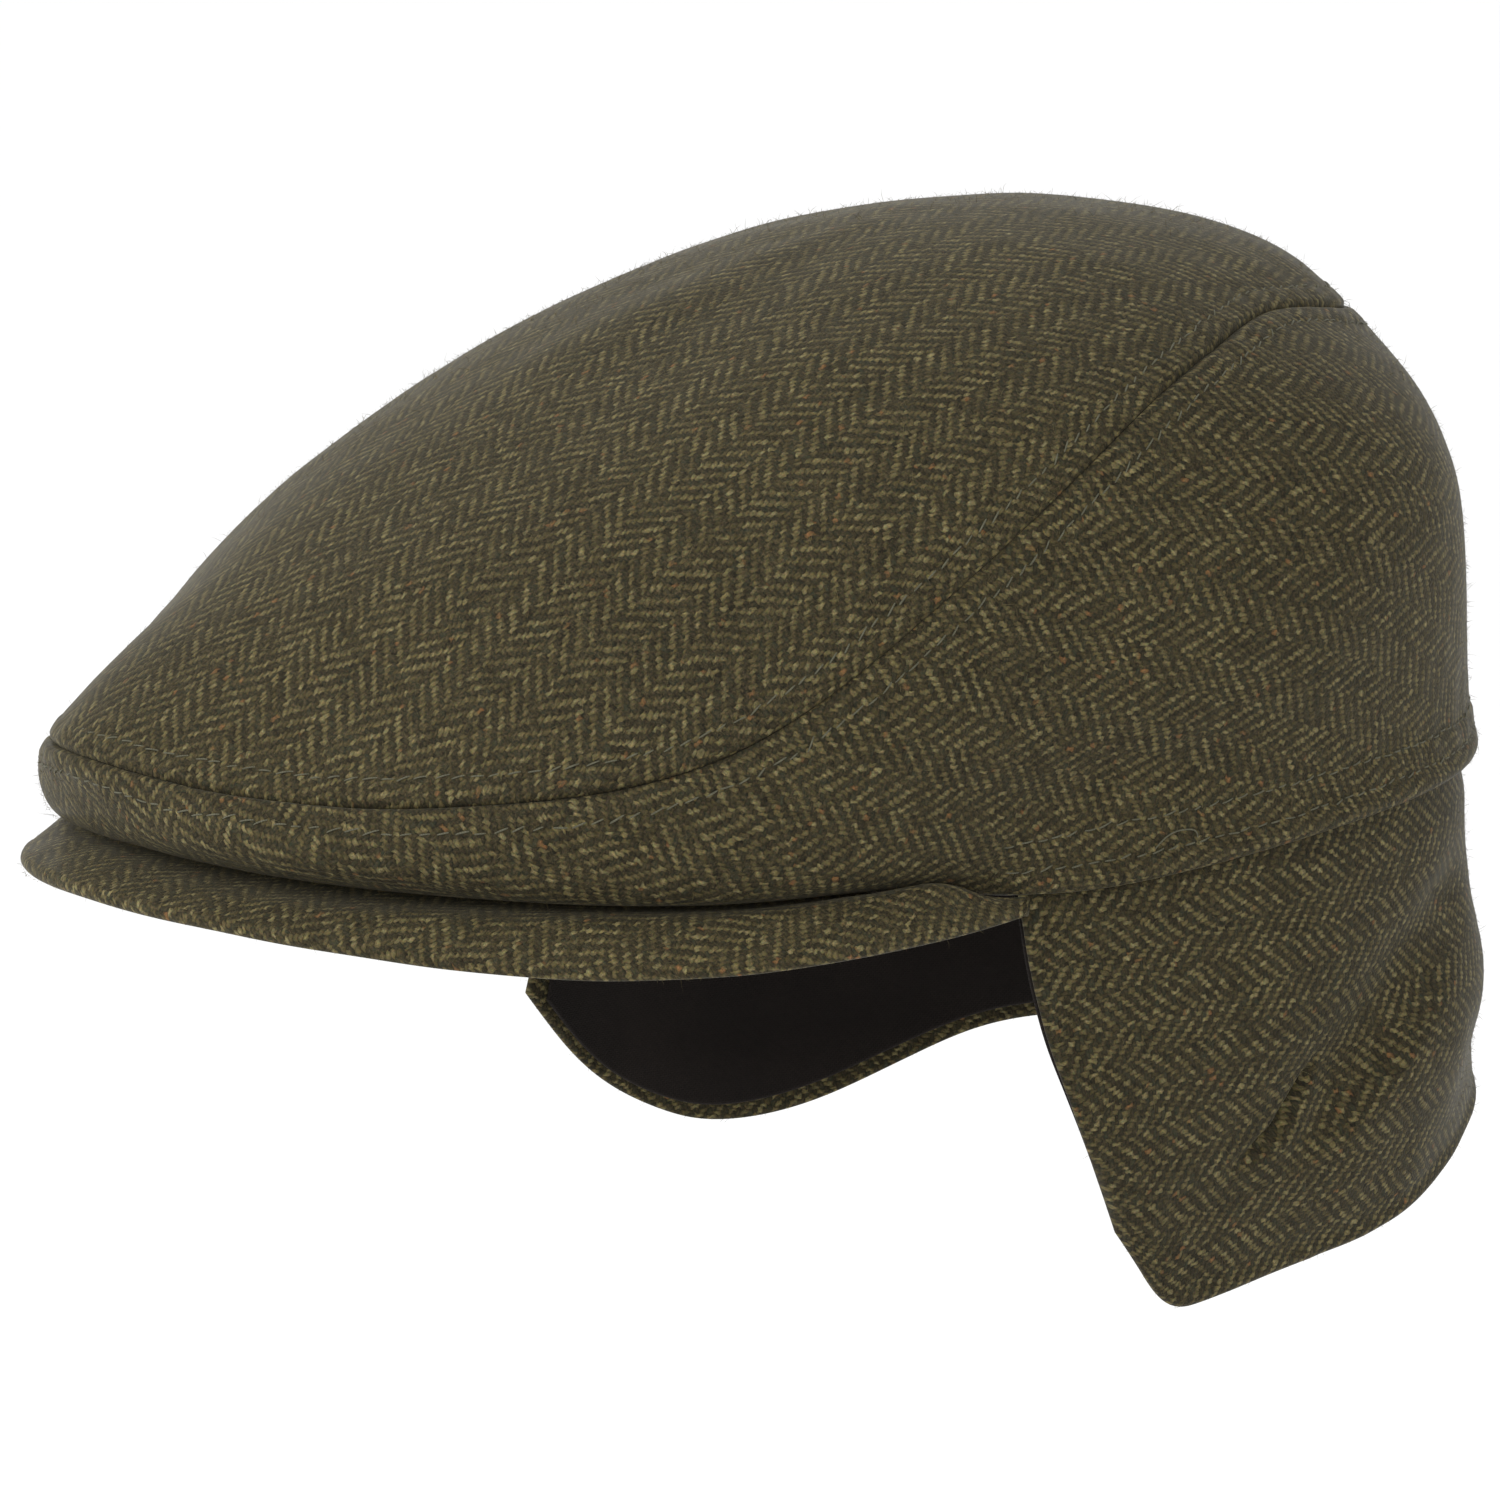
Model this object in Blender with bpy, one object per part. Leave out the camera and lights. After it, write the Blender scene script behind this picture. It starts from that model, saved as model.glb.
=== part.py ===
"""Flat cap of herringbone tweed with a one-piece ear and neck flap folded down.

Front is -Y, the wearer's left is +X, up is +Z. The origin is the centre of the head
opening in the plane of the rim. Sizes are in millimetres until the mesh is made.
"""

import math

import bmesh
import bpy
import numpy as np

MM = 0.001

# Cloth
WALL = 2.0  # tweed with its interlining and lining, as one wall
GAP = 0.3  # clearance between neighbouring pieces
LINING = 1.0  # lining of the flap

# Crown and side band: one row for each meridian, by its angle from the front.
# rim: head opening. fold: under the front overhang, and the upper stitch row of the hem
# at the sides and back. belly: fullest line of the side band. seam: between side band
# and top panel. shoulder, crown: heights of two lines on the top panel.
MERIDIAN_COLUMNS = (
    "angle rim_r rim_z fold_r fold_z belly_r belly_z seam_r seam_z shoulder_z crown_z"
)
MERIDIANS = [
    [0, 101.0, 6.2, 155.6, 4.4, 160.8, 12.8, 162.6, 19.6, 42.8, 78.2],
    [15, 99.3, 5.5, 151.9, 4.0, 155.6, 11.5, 151.0, 17.3, 45.9, 79.8],
    [30, 95.7, 3.6, 136.4, 3.2, 138.2, 10.2, 136.0, 18.6, 51.3, 83.3],
    [45, 91.6, 0.8, 117.4, 2.6, 119.8, 14.3, 118.0, 25.8, 59.5, 87.5],
    [60, 88.0, -2.0, 98.7, 4.4, 102.6, 24.4, 100.4, 45.1, 71.0, 91.3],
    [75, 85.2, -2.8, 85.4, 6.6, 91.4, 36.5, 86.7, 63.2, 79.8, 94.1],
    [90, 83.7, -1.5, 82.4, 8.1, 88.2, 47.2, 75.6, 75.8, 85.8, 96.2],
    [110, 85.2, 1.2, 84.0, 10.3, 90.2, 56.6, 66.4, 83.5, 90.5, 98.0],
    [130, 90.7, 3.2, 89.2, 11.5, 92.8, 59.1, 63.8, 86.0, 92.7, 99.0],
    [155, 99.0, 3.6, 97.6, 11.7, 91.4, 58.4, 74.0, 82.6, 92.0, 99.4],
    [180, 102.6, 3.4, 101.4, 11.7, 91.2, 59.6, 79.2, 80.0, 92.3, 99.4],
]
SHOULDER, CROWN = 0.82, 0.45  # their distance from the middle, as shares of the seam's
# Steps up a meridian: rim, fold, belly, seam, shoulder, crown, apex
RIM, FOLD, BELLY, SEAM, APEX = 0.0, 1.0, 1.6, 2.2, 5.2
LINES = [RIM, FOLD, BELLY, SEAM, 3.2, 4.2, APEX]
APEX_Z = 99.7
APEX_TILT = 0.125  # rise toward the back at the apex
APEX_SPREAD = 1.15

# Peak: one row for each share of the way from the centre to the corner.
# mid: its top face under the overhang. edge: its lower outer edge.
PEAK_CORNER = 71.8  # degrees from the front
PEAK_THICK = 2.7
PEAK_COLUMNS = "share mid_r mid_z edge_r edge_z"
PEAK = [
    [0.0, 142.0, 1.2, 165.9, -3.0],
    [0.2, 139.0, 0.5, 159.4, -4.0],
    [0.4, 126.0, -0.6, 146.8, -7.0],
    [0.6, 109.5, -2.2, 130.6, -8.4],
    [0.8, 96.5, -3.0, 110.7, -7.3],
    [1.0, 86.8, -4.0, 88.4, -6.2],
]
PEAK_DROOP = 3.6  # how much lower its edge hangs half way round the wearer's right side

# Flap: one row for each vertical section, from the left front edge round the back to
# the right front edge. top, low: angles of its top and bottom. drop: depth of the
# bottom below the rim plane. mid_r, low_r: how far out it hangs half way and at the bottom.
FLAP_COLUMNS = "top low drop mid_r low_r"
FLAP = [
    [71.8, 85.0, 65.5, 86.0, 82.0],
    [73.2, 88.5, 72.0, 85.6, 81.0],
    [76.0, 92.0, 76.6, 84.8, 80.3],
    [80.5, 96.5, 79.3, 83.6, 79.6],
    [90.0, 104.5, 79.6, 82.0, 78.8],
    [110.0, 120.7, 78.0, 83.0, 79.5],
    [128.0, 134.0, 75.0, 88.2, 85.6],
    [150.0, 151.5, 68.0, 97.0, 96.0],
    [180.0, 180.0, 60.5, 102.8, 108.0],
    [210.0, 207.5, 62.0, 97.0, 97.0],
    [232.0, 227.5, 65.0, 90.2, 88.0],
    [250.0, 240.5, 71.1, 86.0, 81.5],
    [268.0, 255.0, 79.0, 84.6, 79.0],
    [277.0, 267.6, 81.6, 85.2, 81.0],
    [281.5, 276.0, 78.5, 86.2, 84.0],
    [284.9, 285.0, 69.5, 87.8, 88.5],
    [288.3, 294.0, 53.0, 88.8, 91.6],
]
FLAP_LEAN = 1.6  # how late, on the way down, its sections swing from top to low
FLAP_TUCK = 0.8  # how far up the hem it is sewn in, as a share of the hem's height
LINING_SIDE, LINING_FOOT = 0.012, 0.04  # how far short of its edges the lining ends

# Mesh
CROWN_AROUND, CROWN_UP = 56, 9
BAND_AROUND, HEM_UP, BAND_UP = 58, 3, 8
PEAK_AROUND, PEAK_ACROSS = 36, 6
FLAP_AROUND, FLAP_DOWN = 50, 6

TWEED = (0.075, 0.066, 0.042, 1.0)
DARK = (0.010, 0.008, 0.007, 1.0)


def spline(knots, values, at, start=None, end=None):
    """Cubic through the rows of values at knots. An end slope of None leaves that end straight."""
    x = np.asarray(knots, float)
    y = np.asarray(values, float)
    y = y.reshape(len(x), -1)
    n = len(x)
    h = np.diff(x)
    a = np.zeros((n, n))
    b = np.zeros_like(y)
    for i in range(1, n - 1):
        a[i, i - 1], a[i, i], a[i, i + 1] = h[i - 1], 2 * (h[i - 1] + h[i]), h[i]
        b[i] = 6 * ((y[i + 1] - y[i]) / h[i] - (y[i] - y[i - 1]) / h[i - 1])
    if start is None:
        a[0, 0] = 1
    else:
        a[0, 0], a[0, 1] = 2 * h[0], h[0]
        b[0] = 6 * ((y[1] - y[0]) / h[0] - start)
    if end is None:
        a[-1, -1] = 1
    else:
        a[-1, -1], a[-1, -2] = 2 * h[-1], h[-1]
        b[-1] = 6 * (end - (y[-1] - y[-2]) / h[-1])
    m = np.linalg.solve(a, b)
    at = np.asarray(at, float).ravel()
    i = np.clip(np.searchsorted(x, at) - 1, 0, n - 2)
    hi = h[i][:, None]
    u = (at - x[i])[:, None]
    w = hi - u
    return (
        (m[i] * w**3 + m[i + 1] * u**3) / (6 * hi)
        + (y[i] / hi - m[i] * hi / 6) * w
        + (y[i + 1] / hi - m[i + 1] * hi / 6) * u
    )


def between_rows(names, rows, knots, at, start=None, end=None):
    """The named columns of a table, carried smoothly between its rows."""
    values = spline(knots, np.array(rows, float), at, start, end)
    return {name: values[:, k] for k, name in enumerate(names.split())}


def turned(degrees):
    """Angle from the front, 0 to 180 on either side."""
    return np.abs((np.asarray(degrees, float) + 180) % 360 - 180)


def placed(degrees, r, z):
    """Points at these angles from the front, distances from the axis and heights."""
    a = np.radians(degrees)
    return np.stack([r * np.sin(a), -r * np.cos(a), z], -1)


def meridians(degrees):
    """Distances and heights of the seven lines, one row for each of these angles."""
    knots = [row[0] for row in MERIDIANS]
    c = between_rows(MERIDIAN_COLUMNS, MERIDIANS, knots, turned(degrees), 0, 0)
    apex = np.zeros(len(c["rim_r"]))
    reach = [
        c["rim_r"],
        c["fold_r"],
        c["belly_r"],
        c["seam_r"],
        SHOULDER * c["seam_r"],
        CROWN * c["seam_r"],
        apex,
    ]
    height = [
        c["rim_z"],
        c["fold_z"],
        c["belly_z"],
        c["seam_z"],
        c["shoulder_z"],
        c["crown_z"],
        apex + APEX_Z,
    ]
    return np.stack(reach, 1), np.stack(height, 1)


def cap_surface(degrees, steps):
    """Outer face of the crown and side band: a grid of points, angle by step."""
    degrees = np.asarray(degrees, float).ravel()
    reach, height = meridians(degrees)
    grid = np.empty((len(degrees), len(steps), 2))
    for i in range(len(degrees)):
        line = np.stack([reach[i], height[i]], 1)
        span = np.sqrt(np.linalg.norm(np.diff(line, axis=0), axis=1))
        knots = np.concatenate([[0], np.cumsum(span)])
        tilt = APEX_TILT * math.cos(math.radians(degrees[i]))
        end = span[-1] * np.array([-APEX_SPREAD, tilt])
        grid[i] = spline(knots, line, np.interp(steps, LINES, knots), None, end)
    return placed(degrees[:, None], grid[..., 0], grid[..., 1])


def cap_normals(degrees, steps):
    """Outward normals of cap_surface on the same grid."""
    degrees = np.asarray(degrees, float).ravel()
    steps = np.asarray(steps, float).ravel()
    turn, rise = 0.05, 0.002
    around = cap_surface(degrees + turn, steps) - cap_surface(degrees - turn, steps)
    up = cap_surface(degrees, np.minimum(steps + rise, APEX)) - cap_surface(
        degrees, np.maximum(steps - rise, RIM)
    )
    n = np.cross(around, up)
    n /= np.maximum(np.linalg.norm(n, axis=-1, keepdims=True), 1e-12)
    top = np.array([0, -APEX_TILT, 1.0])
    n[:, steps >= APEX - 1e-9] = top / np.linalg.norm(top)
    return n


def even_angles(count, low, high, step):
    """Angles that share the length of the line at this step evenly."""
    fine = np.linspace(low, high, 361)
    line = cap_surface(fine, [step])[:, 0]
    run = np.cumsum(np.linalg.norm(np.diff(line, axis=0), axis=1))
    run = np.concatenate([[0], run])
    return np.interp(np.linspace(0, run[-1], count), run, fine)


def solid(name, outer, inner, colour, roughness, ring=False):
    """A closed solid between two faces, each a grid of points, section by section."""
    sections = np.concatenate([outer, inner[:, ::-1]], axis=1)
    count, around = sections.shape[:2]
    mesh = bmesh.new()
    verts = [[mesh.verts.new(p * MM) for p in section] for section in sections]
    for i in range(count if ring else count - 1):
        j = (i + 1) % count
        for k in range(around):
            m = (k + 1) % around
            mesh.faces.new((verts[i][k], verts[i][m], verts[j][m], verts[j][k]))
    if not ring:
        for v in (verts[0], verts[-1]):
            for k in range(around // 2 - 1):
                mesh.faces.new((v[k], v[k + 1], v[-2 - k], v[-1 - k]))
    bmesh.ops.remove_doubles(mesh, verts=mesh.verts, dist=1e-6)
    bmesh.ops.recalc_face_normals(mesh, faces=mesh.faces)
    if mesh.calc_volume(signed=True) < 0:
        bmesh.ops.reverse_faces(mesh, faces=mesh.faces)
    for face in mesh.faces:
        face.smooth = True
    for edge in mesh.edges:
        if len(edge.link_faces) == 2 and edge.calc_face_angle() > math.radians(50):
            edge.smooth = False
    data = bpy.data.meshes.new(name)
    mesh.to_mesh(data)
    mesh.free()
    material = bpy.data.materials.new(name + "_cloth")
    material.use_nodes = True
    shader = material.node_tree.nodes["Principled BSDF"]
    shader.inputs["Base Color"].default_value = colour
    shader.inputs["Roughness"].default_value = roughness
    material.diffuse_color = colour
    data.materials.append(material)
    part = bpy.data.objects.new(name, data)
    bpy.context.scene.collection.objects.link(part)
    return part


def crown_top():
    angles = even_angles(CROWN_AROUND + 1, 0, 360, SEAM)[:-1]
    steps = np.linspace(SEAM, APEX, CROWN_UP + 1)
    outer = cap_surface(angles, steps)
    inner = outer - WALL * cap_normals(angles, steps)
    lift = outer[:, 1] - outer[:, 0]
    lift *= GAP / 2 / np.linalg.norm(lift, axis=-1, keepdims=True)
    outer[:, 0] += lift
    inner[:, 0] += lift
    return solid("crown_top", outer, inner, TWEED, 0.9, ring=True)


def side_band():
    edge = math.degrees(math.asin(GAP / 2 / MERIDIANS[-1][7]))
    angles = even_angles(BAND_AROUND + 1, -180 + edge, 180 - edge, BELLY)
    hem = np.linspace(RIM, FOLD, HEM_UP + 1)
    steps = np.concatenate([hem, np.linspace(FOLD, SEAM, BAND_UP + 1)[1:]])
    outer = cap_surface(angles, steps)
    inner = outer - WALL * cap_normals(angles, steps)
    back = outer[:, -2] - outer[:, -1]
    back *= GAP / 2 / np.linalg.norm(back, axis=-1, keepdims=True)
    outer[:, -1] += back
    inner[:, -1] += back
    return solid("side_band", outer, inner, TWEED, 0.9)


def peak():
    angles = even_angles(PEAK_AROUND + 1, -PEAK_CORNER, PEAK_CORNER, BELLY)
    shares = [row[0] for row in PEAK]
    c = between_rows(PEAK_COLUMNS, PEAK, shares, turned(angles) / PEAK_CORNER, 0)
    reach, height = meridians(angles)
    root_r, root_z = reach[:, 0] + 0.4, height[:, 0] - GAP - 0.5
    right = np.clip(-angles / PEAK_CORNER, 0, 1)
    droop = PEAK_DROOP * np.sin(math.pi * right) ** 2
    mid_z, edge_z = c["mid_z"] - 0.5 * droop, c["edge_z"] - droop
    brim_r, brim_z = c["edge_r"] - 1.2, edge_z + PEAK_THICK - 0.4
    across = np.linspace(0, 2, PEAK_ACROSS + 1)
    r = spline([0, 1, 2], [root_r, c["mid_r"], brim_r], across).T
    z = spline([0, 1, 2], [root_z, mid_z, brim_z], across).T
    slope = np.arctan2(np.gradient(z, axis=1), np.gradient(r, axis=1))
    at = angles[:, None]
    top = placed(at, r, z)
    low = placed(at, r + PEAK_THICK * np.sin(slope), z - PEAK_THICK * np.cos(slope))
    edge_r, edge_z = c["edge_r"][:, None], edge_z[:, None]
    high_edge = placed(at, edge_r - 0.1, edge_z + 0.55 * PEAK_THICK)
    low_edge = placed(at, edge_r - 0.3, edge_z + 0.08 * PEAK_THICK)
    outer = np.concatenate([top, high_edge], axis=1)
    inner = np.concatenate([low, low_edge], axis=1)
    return solid("peak", outer, inner, TWEED, 0.9)


def flap_surface(across, down):
    """Outer face of the flap. across: 0 left front edge to 1 right front edge.
    down: below 0 sewn in behind the hem, 0 at the rim, 1 at the bottom edge."""
    c = between_rows(FLAP_COLUMNS, FLAP, np.linspace(0, 1, len(FLAP)), across)
    down = np.asarray(down, float)
    grid = np.empty((len(across), len(down), 3))
    inset = WALL + GAP + 0.1
    tucked = down <= 0
    steps = np.append(-down[tucked] * FOLD, RIM)
    sewn = cap_surface(c["top"], steps) - inset * cap_normals(c["top"], steps)
    grid[:, tucked] = sewn[:, :-1]
    rim = sewn[:, -1]
    hang = down[~tucked]
    rim_r = np.hypot(rim[:, 0], rim[:, 1])
    r = spline([0, 0.5, 1], [rim_r, c["mid_r"], c["low_r"]], hang).T
    z = rim[:, 2:] - (c["drop"][:, None] + rim[:, 2:]) * hang
    swing = (c["low"] - c["top"])[:, None] * hang**FLAP_LEAN
    grid[:, ~tucked] = placed(c["top"][:, None] + swing, r, z)
    return grid


def flap_normals(across, down):
    """Outward normals of flap_surface on the same grid."""
    step = 1e-3
    along = flap_surface(np.minimum(across + step, 1), down) - flap_surface(
        np.maximum(across - step, 0), down
    )
    drop = flap_surface(across, np.minimum(down + step, 1)) - flap_surface(
        across, down - step
    )
    n = np.cross(drop, along)
    return n / np.linalg.norm(n, axis=-1, keepdims=True)


def flap_layer(name, depth, thick, side, foot, tuck, colour):
    """A layer of the flap, depth inside its outer face, side and foot short of its edges."""
    across = np.clip(np.linspace(0, 1, FLAP_AROUND + 1), side, 1 - side)
    hang = np.linspace(0, 1, FLAP_DOWN + 1)
    down = np.concatenate([[-tuck, -tuck * 0.45], np.minimum(hang, 1 - foot)])
    face = flap_surface(across, down)
    out = flap_normals(across, down)
    outer = face - depth * out
    inner = face - (depth + thick) * out
    return solid(name, outer, inner, colour, 0.95)


def ear_flap():
    return flap_layer("ear_flap", 0, WALL, 0, 0, FLAP_TUCK, TWEED)


def ear_flap_lining():
    depth = WALL + 2 * GAP
    inset = (LINING_SIDE, LINING_FOOT)
    tuck = 0.9 * FLAP_TUCK
    return flap_layer("ear_flap_lining", depth, LINING, *inset, tuck, DARK)


def main():
    for old in list(bpy.data.objects):
        bpy.data.objects.remove(old, do_unlink=True)
    crown_top()
    side_band()
    peak()
    ear_flap()
    ear_flap_lining()


main()
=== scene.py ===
"""Flat cap of herringbone tweed with a fold-down ear and neck flap, as it looks.

Front is -Y, the wearer's left is +X, up is +Z. Lengths are in millimetres until a mesh is
made, which is in metres.
"""

import math

import bpy
import numpy as np
from mathutils import Matrix, Vector
from mathutils.bvhtree import BVHTree


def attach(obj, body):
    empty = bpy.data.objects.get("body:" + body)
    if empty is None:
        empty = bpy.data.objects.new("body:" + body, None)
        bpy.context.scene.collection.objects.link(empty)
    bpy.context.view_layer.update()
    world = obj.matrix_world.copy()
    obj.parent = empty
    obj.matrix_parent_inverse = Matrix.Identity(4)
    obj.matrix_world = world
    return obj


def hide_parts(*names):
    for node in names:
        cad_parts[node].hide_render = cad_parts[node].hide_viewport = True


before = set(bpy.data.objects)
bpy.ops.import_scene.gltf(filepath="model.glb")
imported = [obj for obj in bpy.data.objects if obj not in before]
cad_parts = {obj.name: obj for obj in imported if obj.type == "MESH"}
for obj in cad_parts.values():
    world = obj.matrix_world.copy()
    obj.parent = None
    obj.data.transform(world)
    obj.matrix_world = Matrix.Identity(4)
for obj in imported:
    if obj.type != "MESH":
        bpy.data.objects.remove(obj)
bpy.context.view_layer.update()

MM = 0.001

# Cloth
WALL = 2.0  # tweed with its interlining and lining, as one wall
GAP = 0.3  # clearance between neighbouring pieces
LINING = 1.0  # lining of the flap

# Crown and side band: one row for each meridian, by its angle from the front.
# rim: head opening. fold: under the front overhang, and the upper stitch row of the hem
# at the sides and back. belly: fullest line of the side band. seam: between side band
# and top panel. shoulder, crown: heights of two lines on the top panel.
MERIDIAN_COLUMNS = (
    "angle rim_r rim_z fold_r fold_z belly_r belly_z seam_r seam_z shoulder_z crown_z"
)
MERIDIANS = [
    [0, 101.0, 6.2, 155.6, 4.4, 160.8, 12.8, 162.6, 19.6, 42.8, 78.2],
    [15, 99.3, 5.5, 151.9, 4.0, 155.6, 11.5, 151.0, 17.3, 45.9, 79.8],
    [30, 95.7, 3.6, 136.4, 3.2, 138.2, 10.2, 136.0, 18.6, 51.3, 83.3],
    [45, 91.6, 0.8, 117.4, 2.6, 119.8, 14.3, 118.0, 25.8, 59.5, 87.5],
    [60, 88.0, -2.0, 98.7, 4.4, 102.6, 24.4, 100.4, 45.1, 71.0, 91.3],
    [75, 85.2, -2.8, 85.4, 6.6, 91.4, 36.5, 86.7, 63.2, 79.8, 94.1],
    [90, 83.7, -1.5, 82.4, 8.1, 88.2, 47.2, 75.6, 75.8, 85.8, 96.2],
    [110, 85.2, 1.2, 84.0, 10.3, 90.2, 56.6, 66.4, 83.5, 90.5, 98.0],
    [130, 90.7, 3.2, 89.2, 11.5, 92.8, 59.1, 63.8, 86.0, 92.7, 99.0],
    [155, 99.0, 3.6, 97.6, 11.7, 91.4, 58.4, 74.0, 82.6, 92.0, 99.4],
    [180, 102.6, 3.4, 101.4, 11.7, 91.2, 59.6, 79.2, 80.0, 92.3, 99.4],
]
SHOULDER, CROWN = 0.82, 0.45  # their distance from the middle, as shares of the seam's
# Steps up a meridian: rim, fold, belly, seam, shoulder, crown, apex
RIM, FOLD, BELLY, SEAM, APEX = 0.0, 1.0, 1.6, 2.2, 5.2
LINES = [RIM, FOLD, BELLY, SEAM, 3.2, 4.2, APEX]
APEX_Z = 99.7
APEX_TILT = 0.125  # rise toward the back at the apex
APEX_SPREAD = 1.15

# Peak: one row for each share of the way from the centre to the corner.
# mid: its top face under the overhang. edge: its lower outer edge.
PEAK_CORNER = 71.8  # degrees from the front
PEAK_THICK = 2.7
PEAK_COLUMNS = "share mid_r mid_z edge_r edge_z"
PEAK = [
    [0.0, 142.0, 1.2, 165.9, -3.0],
    [0.2, 139.0, 0.5, 159.4, -4.0],
    [0.4, 126.0, -0.6, 146.8, -7.0],
    [0.6, 109.5, -2.2, 130.6, -8.4],
    [0.8, 96.5, -3.0, 110.7, -7.3],
    [1.0, 86.8, -4.0, 88.4, -6.2],
]
PEAK_DROOP = 3.6  # how much lower its edge hangs half way round the wearer's right side

# Flap: one row for each vertical section, from the left front edge round the back to
# the right front edge. top, low: angles of its top and bottom. drop: depth of the
# bottom below the rim plane. mid_r, low_r: how far out it hangs half way and at the bottom.
FLAP_COLUMNS = "top low drop mid_r low_r"
FLAP = [
    [71.8, 85.0, 65.5, 86.0, 82.0],
    [73.2, 88.5, 72.0, 85.6, 81.0],
    [76.0, 92.0, 76.6, 84.8, 80.3],
    [80.5, 96.5, 79.3, 83.6, 79.6],
    [90.0, 104.5, 79.6, 82.0, 78.8],
    [110.0, 120.7, 78.0, 83.0, 79.5],
    [128.0, 134.0, 75.0, 88.2, 85.6],
    [150.0, 151.5, 68.0, 97.0, 96.0],
    [180.0, 180.0, 60.5, 102.8, 108.0],
    [210.0, 207.5, 62.0, 97.0, 97.0],
    [232.0, 227.5, 65.0, 90.2, 88.0],
    [250.0, 240.5, 71.1, 86.0, 81.5],
    [268.0, 255.0, 79.0, 84.6, 79.0],
    [277.0, 267.6, 81.6, 85.2, 81.0],
    [281.5, 276.0, 78.5, 86.2, 84.0],
    [284.9, 285.0, 69.5, 87.8, 88.5],
    [288.3, 294.0, 53.0, 88.8, 91.6],
]
FLAP_LEAN = 1.6  # how late, on the way down, its sections swing from top to low
FLAP_TUCK = 0.8  # how far up the hem it is sewn in, as a share of the hem's height
LINING_SIDE, LINING_FOOT = 0.012, 0.04  # how far short of its edges the lining ends

def spline(knots, values, at, start=None, end=None):
    """Cubic through the rows of values at knots. An end slope of None leaves that end straight."""
    x = np.asarray(knots, float)
    y = np.asarray(values, float)
    y = y.reshape(len(x), -1)
    n = len(x)
    h = np.diff(x)
    a = np.zeros((n, n))
    b = np.zeros_like(y)
    for i in range(1, n - 1):
        a[i, i - 1], a[i, i], a[i, i + 1] = h[i - 1], 2 * (h[i - 1] + h[i]), h[i]
        b[i] = 6 * ((y[i + 1] - y[i]) / h[i] - (y[i] - y[i - 1]) / h[i - 1])
    if start is None:
        a[0, 0] = 1
    else:
        a[0, 0], a[0, 1] = 2 * h[0], h[0]
        b[0] = 6 * ((y[1] - y[0]) / h[0] - start)
    if end is None:
        a[-1, -1] = 1
    else:
        a[-1, -1], a[-1, -2] = 2 * h[-1], h[-1]
        b[-1] = 6 * (end - (y[-1] - y[-2]) / h[-1])
    m = np.linalg.solve(a, b)
    at = np.asarray(at, float).ravel()
    i = np.clip(np.searchsorted(x, at) - 1, 0, n - 2)
    hi = h[i][:, None]
    u = (at - x[i])[:, None]
    w = hi - u
    return (
        (m[i] * w**3 + m[i + 1] * u**3) / (6 * hi)
        + (y[i] / hi - m[i] * hi / 6) * w
        + (y[i + 1] / hi - m[i + 1] * hi / 6) * u
    )


def between_rows(names, rows, knots, at, start=None, end=None):
    """The named columns of a table, carried smoothly between its rows."""
    values = spline(knots, np.array(rows, float), at, start, end)
    return {name: values[:, k] for k, name in enumerate(names.split())}


def turned(degrees):
    """Angle from the front, 0 to 180 on either side."""
    return np.abs((np.asarray(degrees, float) + 180) % 360 - 180)


def placed(degrees, r, z):
    """Points at these angles from the front, distances from the axis and heights."""
    a = np.radians(degrees)
    return np.stack([r * np.sin(a), -r * np.cos(a), z], -1)


def meridians(degrees):
    """Distances and heights of the seven lines, one row for each of these angles."""
    knots = [row[0] for row in MERIDIANS]
    c = between_rows(MERIDIAN_COLUMNS, MERIDIANS, knots, turned(degrees), 0, 0)
    apex = np.zeros(len(c["rim_r"]))
    reach = [
        c["rim_r"],
        c["fold_r"],
        c["belly_r"],
        c["seam_r"],
        SHOULDER * c["seam_r"],
        CROWN * c["seam_r"],
        apex,
    ]
    height = [
        c["rim_z"],
        c["fold_z"],
        c["belly_z"],
        c["seam_z"],
        c["shoulder_z"],
        c["crown_z"],
        apex + APEX_Z,
    ]
    return np.stack(reach, 1), np.stack(height, 1)


def cap_surface(degrees, steps):
    """Outer face of the crown and side band: a grid of points, angle by step."""
    degrees = np.asarray(degrees, float).ravel()
    reach, height = meridians(degrees)
    grid = np.empty((len(degrees), len(steps), 2))
    for i in range(len(degrees)):
        line = np.stack([reach[i], height[i]], 1)
        span = np.sqrt(np.linalg.norm(np.diff(line, axis=0), axis=1))
        knots = np.concatenate([[0], np.cumsum(span)])
        tilt = APEX_TILT * math.cos(math.radians(degrees[i]))
        end = span[-1] * np.array([-APEX_SPREAD, tilt])
        grid[i] = spline(knots, line, np.interp(steps, LINES, knots), None, end)
    return placed(degrees[:, None], grid[..., 0], grid[..., 1])


def cap_normals(degrees, steps):
    """Outward normals of cap_surface on the same grid."""
    degrees = np.asarray(degrees, float).ravel()
    steps = np.asarray(steps, float).ravel()
    turn, rise = 0.05, 0.002
    around = cap_surface(degrees + turn, steps) - cap_surface(degrees - turn, steps)
    up = cap_surface(degrees, np.minimum(steps + rise, APEX)) - cap_surface(
        degrees, np.maximum(steps - rise, RIM)
    )
    n = np.cross(around, up)
    n /= np.maximum(np.linalg.norm(n, axis=-1, keepdims=True), 1e-12)
    top = np.array([0, -APEX_TILT, 1.0])
    n[:, steps >= APEX - 1e-9] = top / np.linalg.norm(top)
    return n


def even_angles(count, low, high, step):
    """Angles that share the length of the line at this step evenly."""
    fine = np.linspace(low, high, 361)
    line = cap_surface(fine, [step])[:, 0]
    run = np.cumsum(np.linalg.norm(np.diff(line, axis=0), axis=1))
    run = np.concatenate([[0], run])
    return np.interp(np.linspace(0, run[-1], count), run, fine)


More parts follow.
